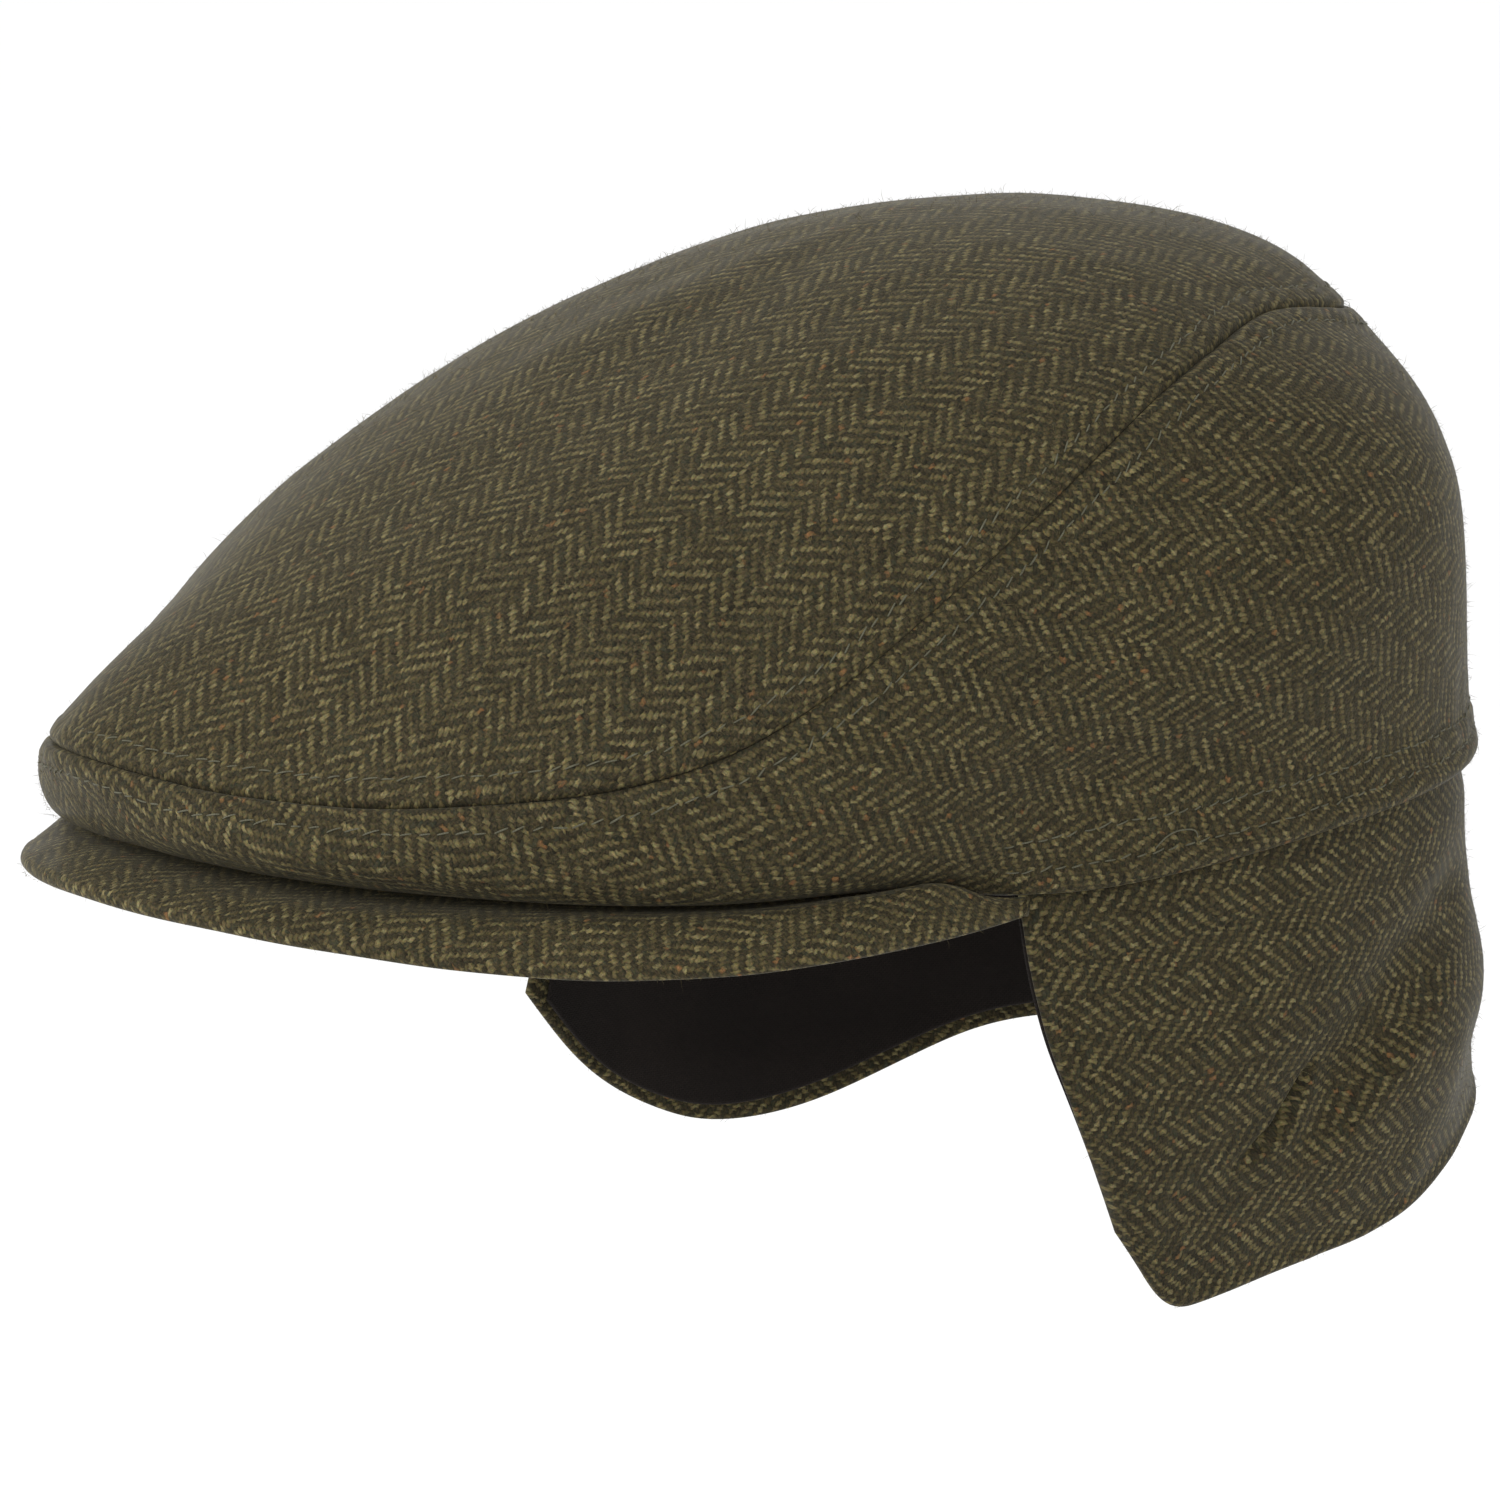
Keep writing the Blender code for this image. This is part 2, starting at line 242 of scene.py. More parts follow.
def flap_surface(across, down):
    """Outer face of the flap. across: 0 left front edge to 1 right front edge.
    down: below 0 sewn in behind the hem, 0 at the rim, 1 at the bottom edge."""
    c = between_rows(FLAP_COLUMNS, FLAP, np.linspace(0, 1, len(FLAP)), across)
    down = np.asarray(down, float)
    grid = np.empty((len(across), len(down), 3))
    inset = WALL + GAP + 0.1
    tucked = down <= 0
    steps = np.append(-down[tucked] * FOLD, RIM)
    sewn = cap_surface(c["top"], steps) - inset * cap_normals(c["top"], steps)
    grid[:, tucked] = sewn[:, :-1]
    rim = sewn[:, -1]
    hang = down[~tucked]
    rim_r = np.hypot(rim[:, 0], rim[:, 1])
    r = spline([0, 0.5, 1], [rim_r, c["mid_r"], c["low_r"]], hang).T
    z = rim[:, 2:] - (c["drop"][:, None] + rim[:, 2:]) * hang
    swing = (c["low"] - c["top"])[:, None] * hang**FLAP_LEAN
    grid[:, ~tucked] = placed(c["top"][:, None] + swing, r, z)
    return grid


def flap_normals(across, down):
    """Outward normals of flap_surface on the same grid."""
    step = 1e-3
    along = flap_surface(np.minimum(across + step, 1), down) - flap_surface(
        np.maximum(across - step, 0), down
    )
    drop = flap_surface(across, np.minimum(down + step, 1)) - flap_surface(
        across, down - step
    )
    n = np.cross(drop, along)
    return n / np.linalg.norm(n, axis=-1, keepdims=True)


# ---------------------------------------------------------------- general helpers


def ease(x, low, high):
    """0 below low, 1 above high, smooth between them."""
    t = np.clip((np.asarray(x, float) - low) / (high - low), 0, 1)
    return t * t * (3 - 2 * t)


def hump(x, middle, width):
    return np.exp(-(((np.asarray(x, float) - middle) / width) ** 2))


def waves(points, seed, length, count=28):
    """Smooth seeded unevenness, about -1 to 1, with waves of about this length."""
    random = np.random.default_rng(seed)
    way = random.normal(size=(count, 3))
    way /= np.linalg.norm(way, axis=1)[:, None]
    way *= (2 * math.pi / (length * random.uniform(0.7, 1.6, count)))[:, None]
    phase = random.uniform(0, 2 * math.pi, count)
    return np.cos(np.asarray(points) @ way.T + phase).sum(-1) * math.sqrt(2 / count) / 2


class Table:
    """Values on a regular grid of x and y, read between its points."""

    def __init__(self, x, y, values):
        self.x, self.y, self.values = np.asarray(x), np.asarray(y), np.asarray(values)

    def at(self, x, y):
        x, y = np.broadcast_arrays(np.asarray(x, float), np.asarray(y, float))
        i, s = self.cell(self.x, x)
        j, t = self.cell(self.y, y)
        v = self.values
        s, t = s[..., None], t[..., None]
        low = v[i, j] * (1 - t) + v[i, j + 1] * t
        high = v[i + 1, j] * (1 - t) + v[i + 1, j + 1] * t
        return low * (1 - s) + high * s

    @staticmethod
    def cell(knots, x):
        f = (x - knots[0]) / (knots[1] - knots[0])
        i = np.clip(np.floor(f).astype(int), 0, len(knots) - 2)
        return i, np.clip(f - i, 0, 1)


def unit(v):
    return v / np.maximum(np.linalg.norm(v, axis=-1, keepdims=True), 1e-12)


def line_place(line, points):
    """Distance of each point from a line of points, and how far along the line it is."""
    line, points = np.asarray(line, float), np.asarray(points, float)
    start, step = line[:-1], np.diff(line, axis=0)
    length = np.linalg.norm(step, axis=1)
    run = np.concatenate([[0], np.cumsum(length)])
    flat = points.reshape(-1, 3)
    away, along = np.empty(len(flat)), np.empty(len(flat))
    for low in range(0, len(flat), 4000):
        p = flat[low : low + 4000]
        t = np.einsum("pld,ld->pl", p[:, None] - start[None], step) / length**2
        t = np.clip(t, 0, 1)
        d = np.linalg.norm(p[:, None] - start[None] - t[..., None] * step[None], axis=2)
        k = d.argmin(1)
        rows = np.arange(len(p))
        away[low : low + 4000] = d[rows, k]
        along[low : low + 4000] = run[k] + t[rows, k] * length[k]
    return away.reshape(points.shape[:-1]), along.reshape(points.shape[:-1])


def flatten(points, triangles, start, rounds=60):
    """Lays a surface flat with as little stretch as it can, turning each triangle rigidly."""
    p = points[triangles]
    e1, e2 = p[:, 1] - p[:, 0], p[:, 2] - p[:, 0]
    length = np.maximum(np.linalg.norm(e1, axis=1), 1e-6)
    local = np.zeros((len(triangles), 3, 2))
    local[:, 1, 0] = length
    local[:, 2, 0] = (e1 * e2).sum(1) / length
    local[:, 2, 1] = np.linalg.norm(np.cross(e1, e2), axis=1) / length
    f1, f2 = (start[triangles[:, k]] - start[triangles[:, 0]] for k in (1, 2))
    if (f1[:, 0] * f2[:, 1] - f1[:, 1] * f2[:, 0]).sum() < 0:
        local[..., 1] *= -1
    n = len(points)
    lap = np.eye(n) * 1e-9
    lap[0, 0] += 1
    pairs = []
    for k in range(3):
        i, j = (k + 1) % 3, (k + 2) % 3
        a, b = local[:, i] - local[:, k], local[:, j] - local[:, k]
        cross = np.abs(a[:, 0] * b[:, 1] - a[:, 1] * b[:, 0])
        weight = np.clip((a * b).sum(1) / np.maximum(cross, 1e-9), 0.02, 50)
        vi, vj = triangles[:, i], triangles[:, j]
        np.add.at(lap, (vi, vj), -weight)
        np.add.at(lap, (vj, vi), -weight)
        np.add.at(lap, (vi, vi), weight)
        np.add.at(lap, (vj, vj), weight)
        pairs.append((i, j, weight))
    inverse = np.linalg.inv(lap)
    flat = start.astype(float)
    for _ in range(rounds):
        now = flat[triangles]
        s = np.zeros((len(triangles), 2, 2))
        for i, j, weight in pairs:
            s += weight[:, None, None] * (
                (now[:, i] - now[:, j])[:, :, None] * (local[:, i] - local[:, j])[:, None]
            )
        c, d = s[:, 0, 0] + s[:, 1, 1], s[:, 1, 0] - s[:, 0, 1]
        size = np.maximum(np.hypot(c, d), 1e-12)
        turn = np.stack([np.stack([c, -d], 1), np.stack([d, c], 1)], 1)
        turn /= size[:, None, None]
        b = np.zeros((n, 2))
        for i, j, weight in pairs:
            push = np.einsum("nab,nb->na", turn, local[:, i] - local[:, j])
            np.add.at(b, triangles[:, i], weight[:, None] * push)
            np.add.at(b, triangles[:, j], -weight[:, None] * push)
        flat = inverse @ b
    return flat


def grid_triangles(rows, columns, ring=False):
    found = []
    for i in range(rows if ring else rows - 1):
        j = (i + 1) % rows
        for k in range(columns - 1):
            a, b = i * columns + k, i * columns + k + 1
            c, d = j * columns + k + 1, j * columns + k
            found += [[a, b, c], [a, c, d]] if (i + k) % 2 else [[a, b, d], [b, c, d]]
    return np.array(found)


def flat_area(points, triangles):
    p = points[triangles]
    cross = np.cross(p[:, 1] - p[:, 0], p[:, 2] - p[:, 0])
    return float(np.linalg.norm(cross, axis=1).sum() / 2)


def upright(flat, low, high):
    """The flat shape turned so that it runs up from one of its points to another, about 0."""
    way = flat[high] - flat[low]
    way = way / np.linalg.norm(way)
    flat = flat @ np.array([[way[1], way[0]], [-way[0], way[1]]])
    return flat - (flat.min(0) + flat.max(0)) / 2


def turned_by(flat, degrees):
    """Flat places seen in axes turned counter-clockwise by this angle."""
    a = math.radians(degrees)
    return flat @ np.array([[math.cos(a), -math.sin(a)], [math.sin(a), math.cos(a)]])


def leaned(points):
    """The worn cap's front hangs slightly lower on the wearer's right."""
    drop = 1.1 * ease(-points[:, 1], 95, 150) * ease(-points[:, 0], -14, 34)
    return points - np.stack([0 * drop, 0 * drop, drop], 1)


class Body:
    """Points, faces and maps of one mesh, gathered part by part."""

    def __init__(self):
        self.points, self.faces, self.cloth, self.bake, self.kinds = [], [], [], [], []
        self.count = 0

    def add(self, points):
        """Adds a grid of points and returns their numbers, as a grid."""
        points = np.asarray(points, float)
        numbers = np.arange(points[..., 0].size).reshape(points.shape[:-1]) + self.count
        self.points.append(points.reshape(-1, 3))
        self.count += numbers.size
        return numbers

    def face(self, corners, cloth, bake, kind=0):
        """Adds faces: a row of corner numbers for each, and the two maps at each corner."""
        self.faces.append(np.asarray(corners))
        self.cloth.append(np.asarray(cloth, float))
        self.bake.append(np.asarray(bake, float))
        self.kinds.append(np.full(len(corners), kind))

    def grid(self, numbers, cloth, bake, kind=0, ring=False, flip=False):
        """Faces over a grid of point numbers, with the two maps on the same grid."""
        n = np.asarray(numbers)
        pick = lambda g: self.corners(np.asarray(g), ring, flip)
        self.face(pick(n), pick(cloth), pick(bake), kind)

    @staticmethod
    def corners(g, ring, flip):
        h = np.concatenate([g, g[:1]]) if ring else g
        quad = [h[:-1, :-1], h[:-1, 1:], h[1:, 1:], h[1:, :-1]]
        if flip:
            quad = quad[::-1]
        stacked = np.stack(quad, 2)
        return stacked.reshape((-1, 4) + stacked.shape[3:])

    def mesh(self, name, materials):
        """The mesh as an object that rides on the body, with its normals outward."""
        points = np.concatenate(self.points)
        loops, starts, cloth, bake, kinds = [], [], [], [], []
        total = 0
        for corners, c, b, k in zip(self.faces, self.cloth, self.bake, self.kinds):
            sides = corners.shape[1]
            loops.append(corners.ravel())
            starts.append(total + sides * np.arange(len(corners)))
            total += corners.size
            cloth.append(c.reshape(-1, 2))
            bake.append(b.reshape(-1, 2))
            kinds.append(k)
        used, loops = np.unique(np.concatenate(loops), return_inverse=True)
        points = leaned(points[used]) * MM
        data = bpy.data.meshes.new(name)
        data.vertices.add(len(points))
        data.vertices.foreach_set("co", points.ravel())
        data.loops.add(total)
        data.loops.foreach_set("vertex_index", loops.astype(np.int32))
        starts = np.concatenate(starts)
        data.polygons.add(len(starts))
        data.polygons.foreach_set("loop_start", starts.astype(np.int32))
        data.polygons.foreach_set("material_index", np.concatenate(kinds).astype(np.int32))
        for title, values in (("cloth", cloth), ("OFBake", bake)):
            layer = data.uv_layers.new(name=title)
            layer.data.foreach_set("uv", np.concatenate(values).ravel())
        data.update(calc_edges=True)
        data.validate()
        data.shade_smooth()
        for material in materials:
            data.materials.append(material)
        piece = bpy.data.objects.new(name, data)
        bpy.context.scene.collection.objects.link(piece)
        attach(piece, "root")
        return piece


# ---------------------------------------------------------------- materials


class Sum:
    """A number in a material's node tree, so that formulas can be written plainly."""

    tree = None

    def __init__(self, socket):
        self.socket = socket

    @classmethod
    def maths(cls, operation, *values, clamp=False):
        node = cls.tree.nodes.new("ShaderNodeMath")
        node.operation = operation
        node.use_clamp = clamp
        for k, value in enumerate(values):
            if isinstance(value, Sum):
                cls.tree.links.new(value.socket, node.inputs[k])
            else:
                node.inputs[k].default_value = float(value)
        return Sum(node.outputs[0])

    def __add__(self, other):
        return self.maths("ADD", self, other)

    def __sub__(self, other):
        return self.maths("SUBTRACT", self, other)

    def __mul__(self, other):
        return self.maths("MULTIPLY", self, other)

    def __truediv__(self, other):
        return self.maths("DIVIDE", self, other)

    __radd__ = __add__
    __rmul__ = __mul__

    def __rsub__(self, other):
        return self.maths("SUBTRACT", other, self)


def floor_of(x):
    return Sum.maths("FLOOR", x)


def modulo(x, n):
    return Sum.maths("FLOORED_MODULO", x, n)


def arch(x):
    """0 at 0 and 1, 1 between them."""
    return Sum.maths("SINE", x * math.pi)


def power(x, n):
    return Sum.maths("POWER", Sum.maths("MAXIMUM", x, 0.0), n)


def less(x, y):
    return Sum.maths("LESS_THAN", x, y)


def choose(t, a, b):
    """a where t is 0, b where it is 1."""
    return a + (b - a) * t


def spread(x, low, high, out_low, out_high):
    node = Sum.tree.nodes.new("ShaderNodeMapRange")
    Sum.tree.links.new(x.socket, node.inputs[0])
    for k, value in enumerate((low, high, out_low, out_high)):
        node.inputs[k + 1].default_value = value
    return Sum(node.outputs[0])


def place(x, y, z=0.0):
    node = Sum.tree.nodes.new("ShaderNodeCombineXYZ")
    for k, value in enumerate((x, y, z)):
        if isinstance(value, Sum):
            Sum.tree.links.new(value.socket, node.inputs[k])
        else:
            node.inputs[k].default_value = float(value)
    return node.outputs[0]


def noise(where, scale, detail=0.0, rough=0.5, flat=True):
    """Noise at a place, about 0 to 1, and its colour output."""
    node = Sum.tree.nodes.new("ShaderNodeTexNoise")
    node.noise_dimensions = "2D" if flat else "3D"
    Sum.tree.links.new(where, node.inputs["Vector"])
    node.inputs["Scale"].default_value = scale
    node.inputs["Detail"].default_value = detail
    node.inputs["Roughness"].default_value = rough
    return Sum(node.outputs[0]), node.outputs[1]


def chance(where):
    """A random number from 0 to 1 for each place, the same at the same place."""
    node = Sum.tree.nodes.new("ShaderNodeTexWhiteNoise")
    node.noise_dimensions = "2D"
    Sum.tree.links.new(where, node.inputs["Vector"])
    return Sum(node.outputs["Value"])


def split(socket):
    node = Sum.tree.nodes.new("ShaderNodeSeparateXYZ")
    Sum.tree.links.new(socket, node.inputs[0])
    return [Sum(s) for s in node.outputs]


def blend(amount, a, b, how="MIX"):
    """Colour a changed to b by this amount. Each is a socket or a plain colour."""
    node = Sum.tree.nodes.new("ShaderNodeMix")
    node.data_type = "RGBA"
    node.blend_type = how
    values = ((0, amount), (6, a), (7, b))
    for k, value in values:
        if isinstance(value, Sum):
            Sum.tree.links.new(value.socket, node.inputs[k])
        elif isinstance(value, bpy.types.NodeSocket):
            Sum.tree.links.new(value, node.inputs[k])
        elif k == 0:
            node.inputs[k].default_value = value
        else:
            node.inputs[k].default_value = (*value, 1)
    return node.outputs[2]


def ramp(x, stops):
    node = Sum.tree.nodes.new("ShaderNodeValToRGB")
    Sum.tree.links.new(x.socket, node.inputs[0])
    marks = node.color_ramp.elements
    while len(marks) < len(stops):
        marks.new(0.5)
    for mark, (at, colour) in zip(marks, stops):
        mark.position = at
        mark.color = (*colour, 1)
    return node.outputs[0]


def shader_for(name):
    """A new material with its shader, and node formulas set to write into it."""
    material = bpy.data.materials.new(name)
    material.use_nodes = True
    Sum.tree = material.node_tree
    shader = Sum.tree.nodes["Principled BSDF"]
    return material, shader


def cloth_place(title="cloth"):
    node = Sum.tree.nodes.new("ShaderNodeUVMap")
    node.uv_map = title
    return node.outputs[0]


def raise_surface(shader, height, depth):
    """Bump of this many millimetres where height goes from 0 to 1."""
    node = Sum.tree.nodes.new("ShaderNodeBump")
    node.inputs["Strength"].default_value = 1.0
    node.inputs["Distance"].default_value = depth * MM
    Sum.tree.links.new(height.socket, node.inputs["Height"])
    Sum.tree.links.new(node.outputs[0], shader.inputs["Normal"])


YARN = 0.78  # distance from yarn to yarn, both ways
COLUMN = 8  # warp yarns in a column of the herringbone


def tweed(name, shift=(0.0, 0.0), tone_and_painted_light=1.0, worn=1.0):
    """Two-and-two herringbone in heather yarns: light warp over a dark weft."""
    material, shader = shader_for(name)
    where = cloth_place()
    x, y, _ = split(where)
    slow = split(noise(where, 0.07, 1.0)[1])
    quick = split(noise(where, 0.60, 2.0, 0.6)[1])
    u = x / YARN + (slow[0] - 0.5) * 2.4 + (quick[0] - 0.5) * 1.6 + shift[0]
    v = y / YARN + (slow[1] - 0.5) * 2.4 + (quick[1] - 0.5) * 1.6 + shift[1]
    end, pick = floor_of(u), floor_of(v)
    across, along = u - end, v - pick
    column = floor_of(end / COLUMN)
    side = modulo(column, 2.0)
    inner = end - column * COLUMN
    lift = modulo(pick + side * (inner * 2.0 + 3.0) - inner, 4.0)
    warp = less(lift, 1.5)
    warp_run = (lift + along) / 2.0
    weft_run = (3.0 - lift + side * (lift * 2.0 - 5.0) + across) / 2.0
    warp_high = power(arch(across), 0.55) * power(arch(warp_run), 0.95)
    weft_high = power(arch(along) * arch(weft_run), 0.50) * 0.66
    high = choose(warp, weft_high, warp_high)
    # Each yarn's own shade, which drifts along it, and each float's
    warp_shade, _ = noise(place(end * 7.31, v * 0.16), 1.0, 2.0, 0.65)
    weft_shade, _ = noise(place(u * 0.16, pick * 5.77), 1.0, 2.0, 0.65)
    bead = chance(place(end + 0.5, (pick - lift) * warp + pick * (1.0 - warp) + 0.5))
    fibre_at = place(choose(warp, u * 1.3, u * 5.5), choose(warp, v * 5.5, v * 1.3))
    fibre, _ = noise(fibre_at, 1.0, 2.0, 0.6)
    light = ramp(
        spread(warp_shade * 0.72 + bead * 0.28, 0.27, 0.73, 0, 1),
        [
            (0.0, WARP_DARK),
            (0.30, WARP_MID),
            (0.58, WARP_LIGHT),
            (0.86, WARP_PALE),
            (0.95, WARP_MID),
            (1.0, WARP_RUST),
        ],
    )
    dark = ramp(
        spread(weft_shade, 0.25, 0.75, 0, 1),
        [(0.0, WEFT_DARK), (0.45, WEFT_MID), (0.8, WEFT_GREEN), (1.0, WEFT_LIGHT)],
    )
    colour = blend(warp, dark, light)
    grain = spread(fibre, 0.25, 0.75, 0.58, 1.42)
    grain = grain * spread(bead, 0.0, 1.0, 0.70, 1.30)
    # Painted shade: the colour is darkened where the yarns dip into the gaps between them, and lightened
    # a little on their crests.
    painted_gap_shade = spread(high, 0.05, 0.85, 0.42, 1.12)
    patch, _ = noise(where, 0.022, 2.0, 0.6)
    # The shade factor joins the yarns' own tone, the painted gap shade and, last, a painted light factor
    # for the whole piece: lighter for the peak in the overhang's shade, darker for the flap.
    shade = grain * painted_gap_shade * spread(patch, 0.3, 0.7, 0.92, 1.08) * tone_and_painted_light
    grey = place(shade, shade, shade)
    colour = blend(1.0, colour, grey, "MULTIPLY")
    # Loose nap that lies over the yarns, thicker in places
    nap, _ = noise(where, 1.3, 4.0, 0.75)
    thick, _ = noise(where, 0.17, 4.0, 0.70)
    most = min(NAP_MOST * worn, 0.94)
    nap = spread(nap, 0.38, 0.64, 0.0, 1.0) * spread(thick, 0.34, 0.64, 0.30 * worn, most)
    speck, tint = noise(where, 2.2, 3.0, 0.7)
    # The same painted light factor lightens or darkens the nap.
    fleck = spread(speck, 0.3, 0.7, 0.45, 1.55) * tone_and_painted_light
    loose = blend(1.0, place(fleck, fleck, fleck), NAP, "MULTIPLY")
    colour = blend(nap, colour, loose)
    # Heather yarns: single fibres in other colours, here greener, there redder
    tint_red, tint_green, tint_blue = split(tint)
    hue = place(
        spread(tint_red, 0.3, 0.7, 0.84, 1.16),
        spread(tint_green, 0.3, 0.7, 0.93, 1.07),
        spread(tint_blue, 0.3, 0.7, 0.80, 1.20),
    )
    colour = blend(1.0, colour, hue, "MULTIPLY")
    Sum.tree.links.new(colour, shader.inputs["Base Color"])
    height = high + (fibre - 0.5) * 0.35 + nap * fleck * 0.4
    raise_surface(shader, height, 0.20)
    shader.inputs["Roughness"].default_value = 0.95
    shader.inputs["Specular IOR Level"].default_value = 0.14
    shader.inputs["Sheen Weight"].default_value = 0.06
    shader.inputs["Sheen Roughness"].default_value = 0.30
    shader.inputs["Sheen Tint"].default_value = (0.80, 0.76, 0.58, 1)
    shader.inputs["Coat Weight"].default_value = 0.36
    shader.inputs["Coat Roughness"].default_value = 0.28
    shader.inputs["Coat IOR"].default_value = 1.06
    shader.inputs["Coat Tint"].default_value = (1, 1, 1, 1)
    material.diffuse_color = (0.075, 0.066, 0.042, 1)
    return material


def plain_lining(name):
    """Matt, almost black brown lining in a fine plain weave."""
    material, shader = shader_for(name)
    where = cloth_place()
    x, y, _ = split(where)
    drift = split(noise(where, 0.12, 1.0)[1])
    u = x / 0.42 + (drift[0] - 0.5) * 0.9
    v = y / 0.42 + (drift[1] - 0.5) * 0.9
    i, j = floor_of(u), floor_of(v)
    over = modulo(i + j, 2.0)
    high = choose(over, arch(v - j), arch(u - i))
    shade, _ = noise(place(i * 3.1, j * 2.3), 0.37, 2.0)
    patch, _ = noise(where, 0.05, 3.0, 0.6)
    tone_and_painted_light = spread(shade, 0.3, 0.7, 0.8, 1.2) * spread(patch, 0.3, 0.7, 0.85, 1.18)
    # Painted shade: darker in the gaps between the threads of the weave.
    tone_and_painted_light = tone_and_painted_light * spread(high, 0.0, 1.0, 0.7, 1.1)
    colour = blend(1.0, place(tone_and_painted_light, tone_and_painted_light, tone_and_painted_light), LINING_COLOUR, "MULTIPLY")
    Sum.tree.links.new(colour, shader.inputs["Base Color"])
    raise_surface(shader, high + (patch - 0.5) * 1.5, 0.07)
    shader.inputs["Roughness"].default_value = 0.85
    shader.inputs["Specular IOR Level"].default_value = 0.15
    shader.inputs["Sheen Weight"].default_value = 0.02
    shader.inputs["Sheen Roughness"].default_value = 0.4
    shader.inputs["Sheen Tint"].default_value = (0.7, 0.62, 0.55, 1)
    material.diffuse_color = (0.010, 0.008, 0.007, 1)
    return material


def sewing_thread(name):
    """Pale grey-green twisted sewing thread. The cloth map runs along and round it."""
    material, shader = shader_for(name)
    where = cloth_place()
    x, y, _ = split(where)
    ply = arch(modulo(x * 1.25 + y, 0.5) * 2.0)
    shade, _ = noise(where, 0.9, 2.0)
    # Painted shade: darker in the grooves between the plies.
    tone_and_painted_light = spread(ply, 0.0, 1.0, 0.68, 1.08) * spread(shade, 0.3, 0.7, 0.8, 1.15)
    colour = blend(1.0, place(tone_and_painted_light, tone_and_painted_light, tone_and_painted_light), THREAD_COLOUR, "MULTIPLY")
    Sum.tree.links.new(colour, shader.inputs["Base Color"])
    raise_surface(shader, ply, 0.05)
    shader.inputs["Roughness"].default_value = 0.6
    shader.inputs["Specular IOR Level"].default_value = 0.3
    material.diffuse_color = (*THREAD_COLOUR, 1)
    return material


def wool_fibre(name):
    """Loose wool fibres, most of them pale. The cloth map gives each its own place."""
    material, shader = shader_for(name)
    x, y, _ = split(cloth_place())
    shade = chance(place(floor_of(x), floor_of(y)))
    colour = ramp(
        shade,
        [(0.0, WEFT_LIGHT), (0.25, WARP_MID), (0.6, WARP_LIGHT), (0.9, WARP_PALE), (1.0, WARP_RUST)],
    )
    along = spread(x - floor_of(x), 0.0, 1.0, 0.85, 1.15)
    colour = blend(1.0, colour, place(along, along, along), "MULTIPLY")
    Sum.tree.links.new(colour, shader.inputs["Base Color"])
    shader.inputs["Roughness"].default_value = 0.8
    shader.inputs["Specular IOR Level"].default_value = 0.2
    material.diffuse_color = (*WARP_LIGHT, 1)
    return material


WARP_DARK, WARP_MID = (0.036, 0.029, 0.0120), (0.064, 0.0510, 0.0210)
WARP_LIGHT, WARP_PALE = (0.087, 0.0710, 0.0295), (0.110, 0.0930, 0.0430)
WARP_RUST = (0.090, 0.047, 0.0180)
WEFT_DARK, WEFT_MID = (0.012, 0.0101, 0.0052), (0.022, 0.0177, 0.0088)
WEFT_GREEN, WEFT_LIGHT = (0.020, 0.0213, 0.0122), (0.044, 0.0345, 0.0165)
NAP, NAP_MOST = (0.0465, 0.0378, 0.0182), 0.86
LINING_COLOUR = (0.0070, 0.0049, 0.0038)
THREAD_COLOUR = (0.072, 0.069, 0.042)


# ---------------------------------------------------------------- the cap's surface

TURNS = np.linspace(-180, 180, 721)
RISES = np.linspace(RIM, APEX, 521)
FACE = Table(TURNS, RISES, cap_surface(TURNS, RISES))
OUT = Table(TURNS, RISES, cap_normals(TURNS, RISES))
ROUND = np.linspace(-180, 180, 1081)
SEAM_LINE = FACE.at(ROUND, SEAM)
BACK_LINE = FACE.at(180.0, np.linspace(RIM, SEAM, 60))
HEM_FROM = 70.0  # degrees from the front where the peak's corner ends and the hem begins
HEM_ROUND = np.linspace(HEM_FROM - 1, 361 - HEM_FROM, 700)
UPPER_ROW_STEP = 0.96


def wrapped(degrees):
    return (np.asarray(degrees, float) + 180) % 360 - 180


def hem_height(degrees):
    """Length of the hem from the rim to its upper stitches."""
    a = wrapped(degrees)
    return np.linalg.norm(FACE.at(a, FOLD) - FACE.at(a, RIM), axis=-1)


def seam_shape(away, deep):
    """Rise of the cloth beside a sewn seam: a valley at the join, and the turnings under
    it held flat by the stitches on each side."""
    rise = 0.26 * ease(away, 0.2, 1.4) * (1 - ease(away, 3.9, 6.6)) * (0.4 + 0.6 * deep)
    rise = rise - deep * (0.90 * hump(away, 0, 0.45) + 0.14 * hump(away, 0, 1.6))
    return rise - 0.20 * hump(away, SEAM_ROW, 0.60)


SEAM_ROW = 4.7  # from the seam to the stitches beside it


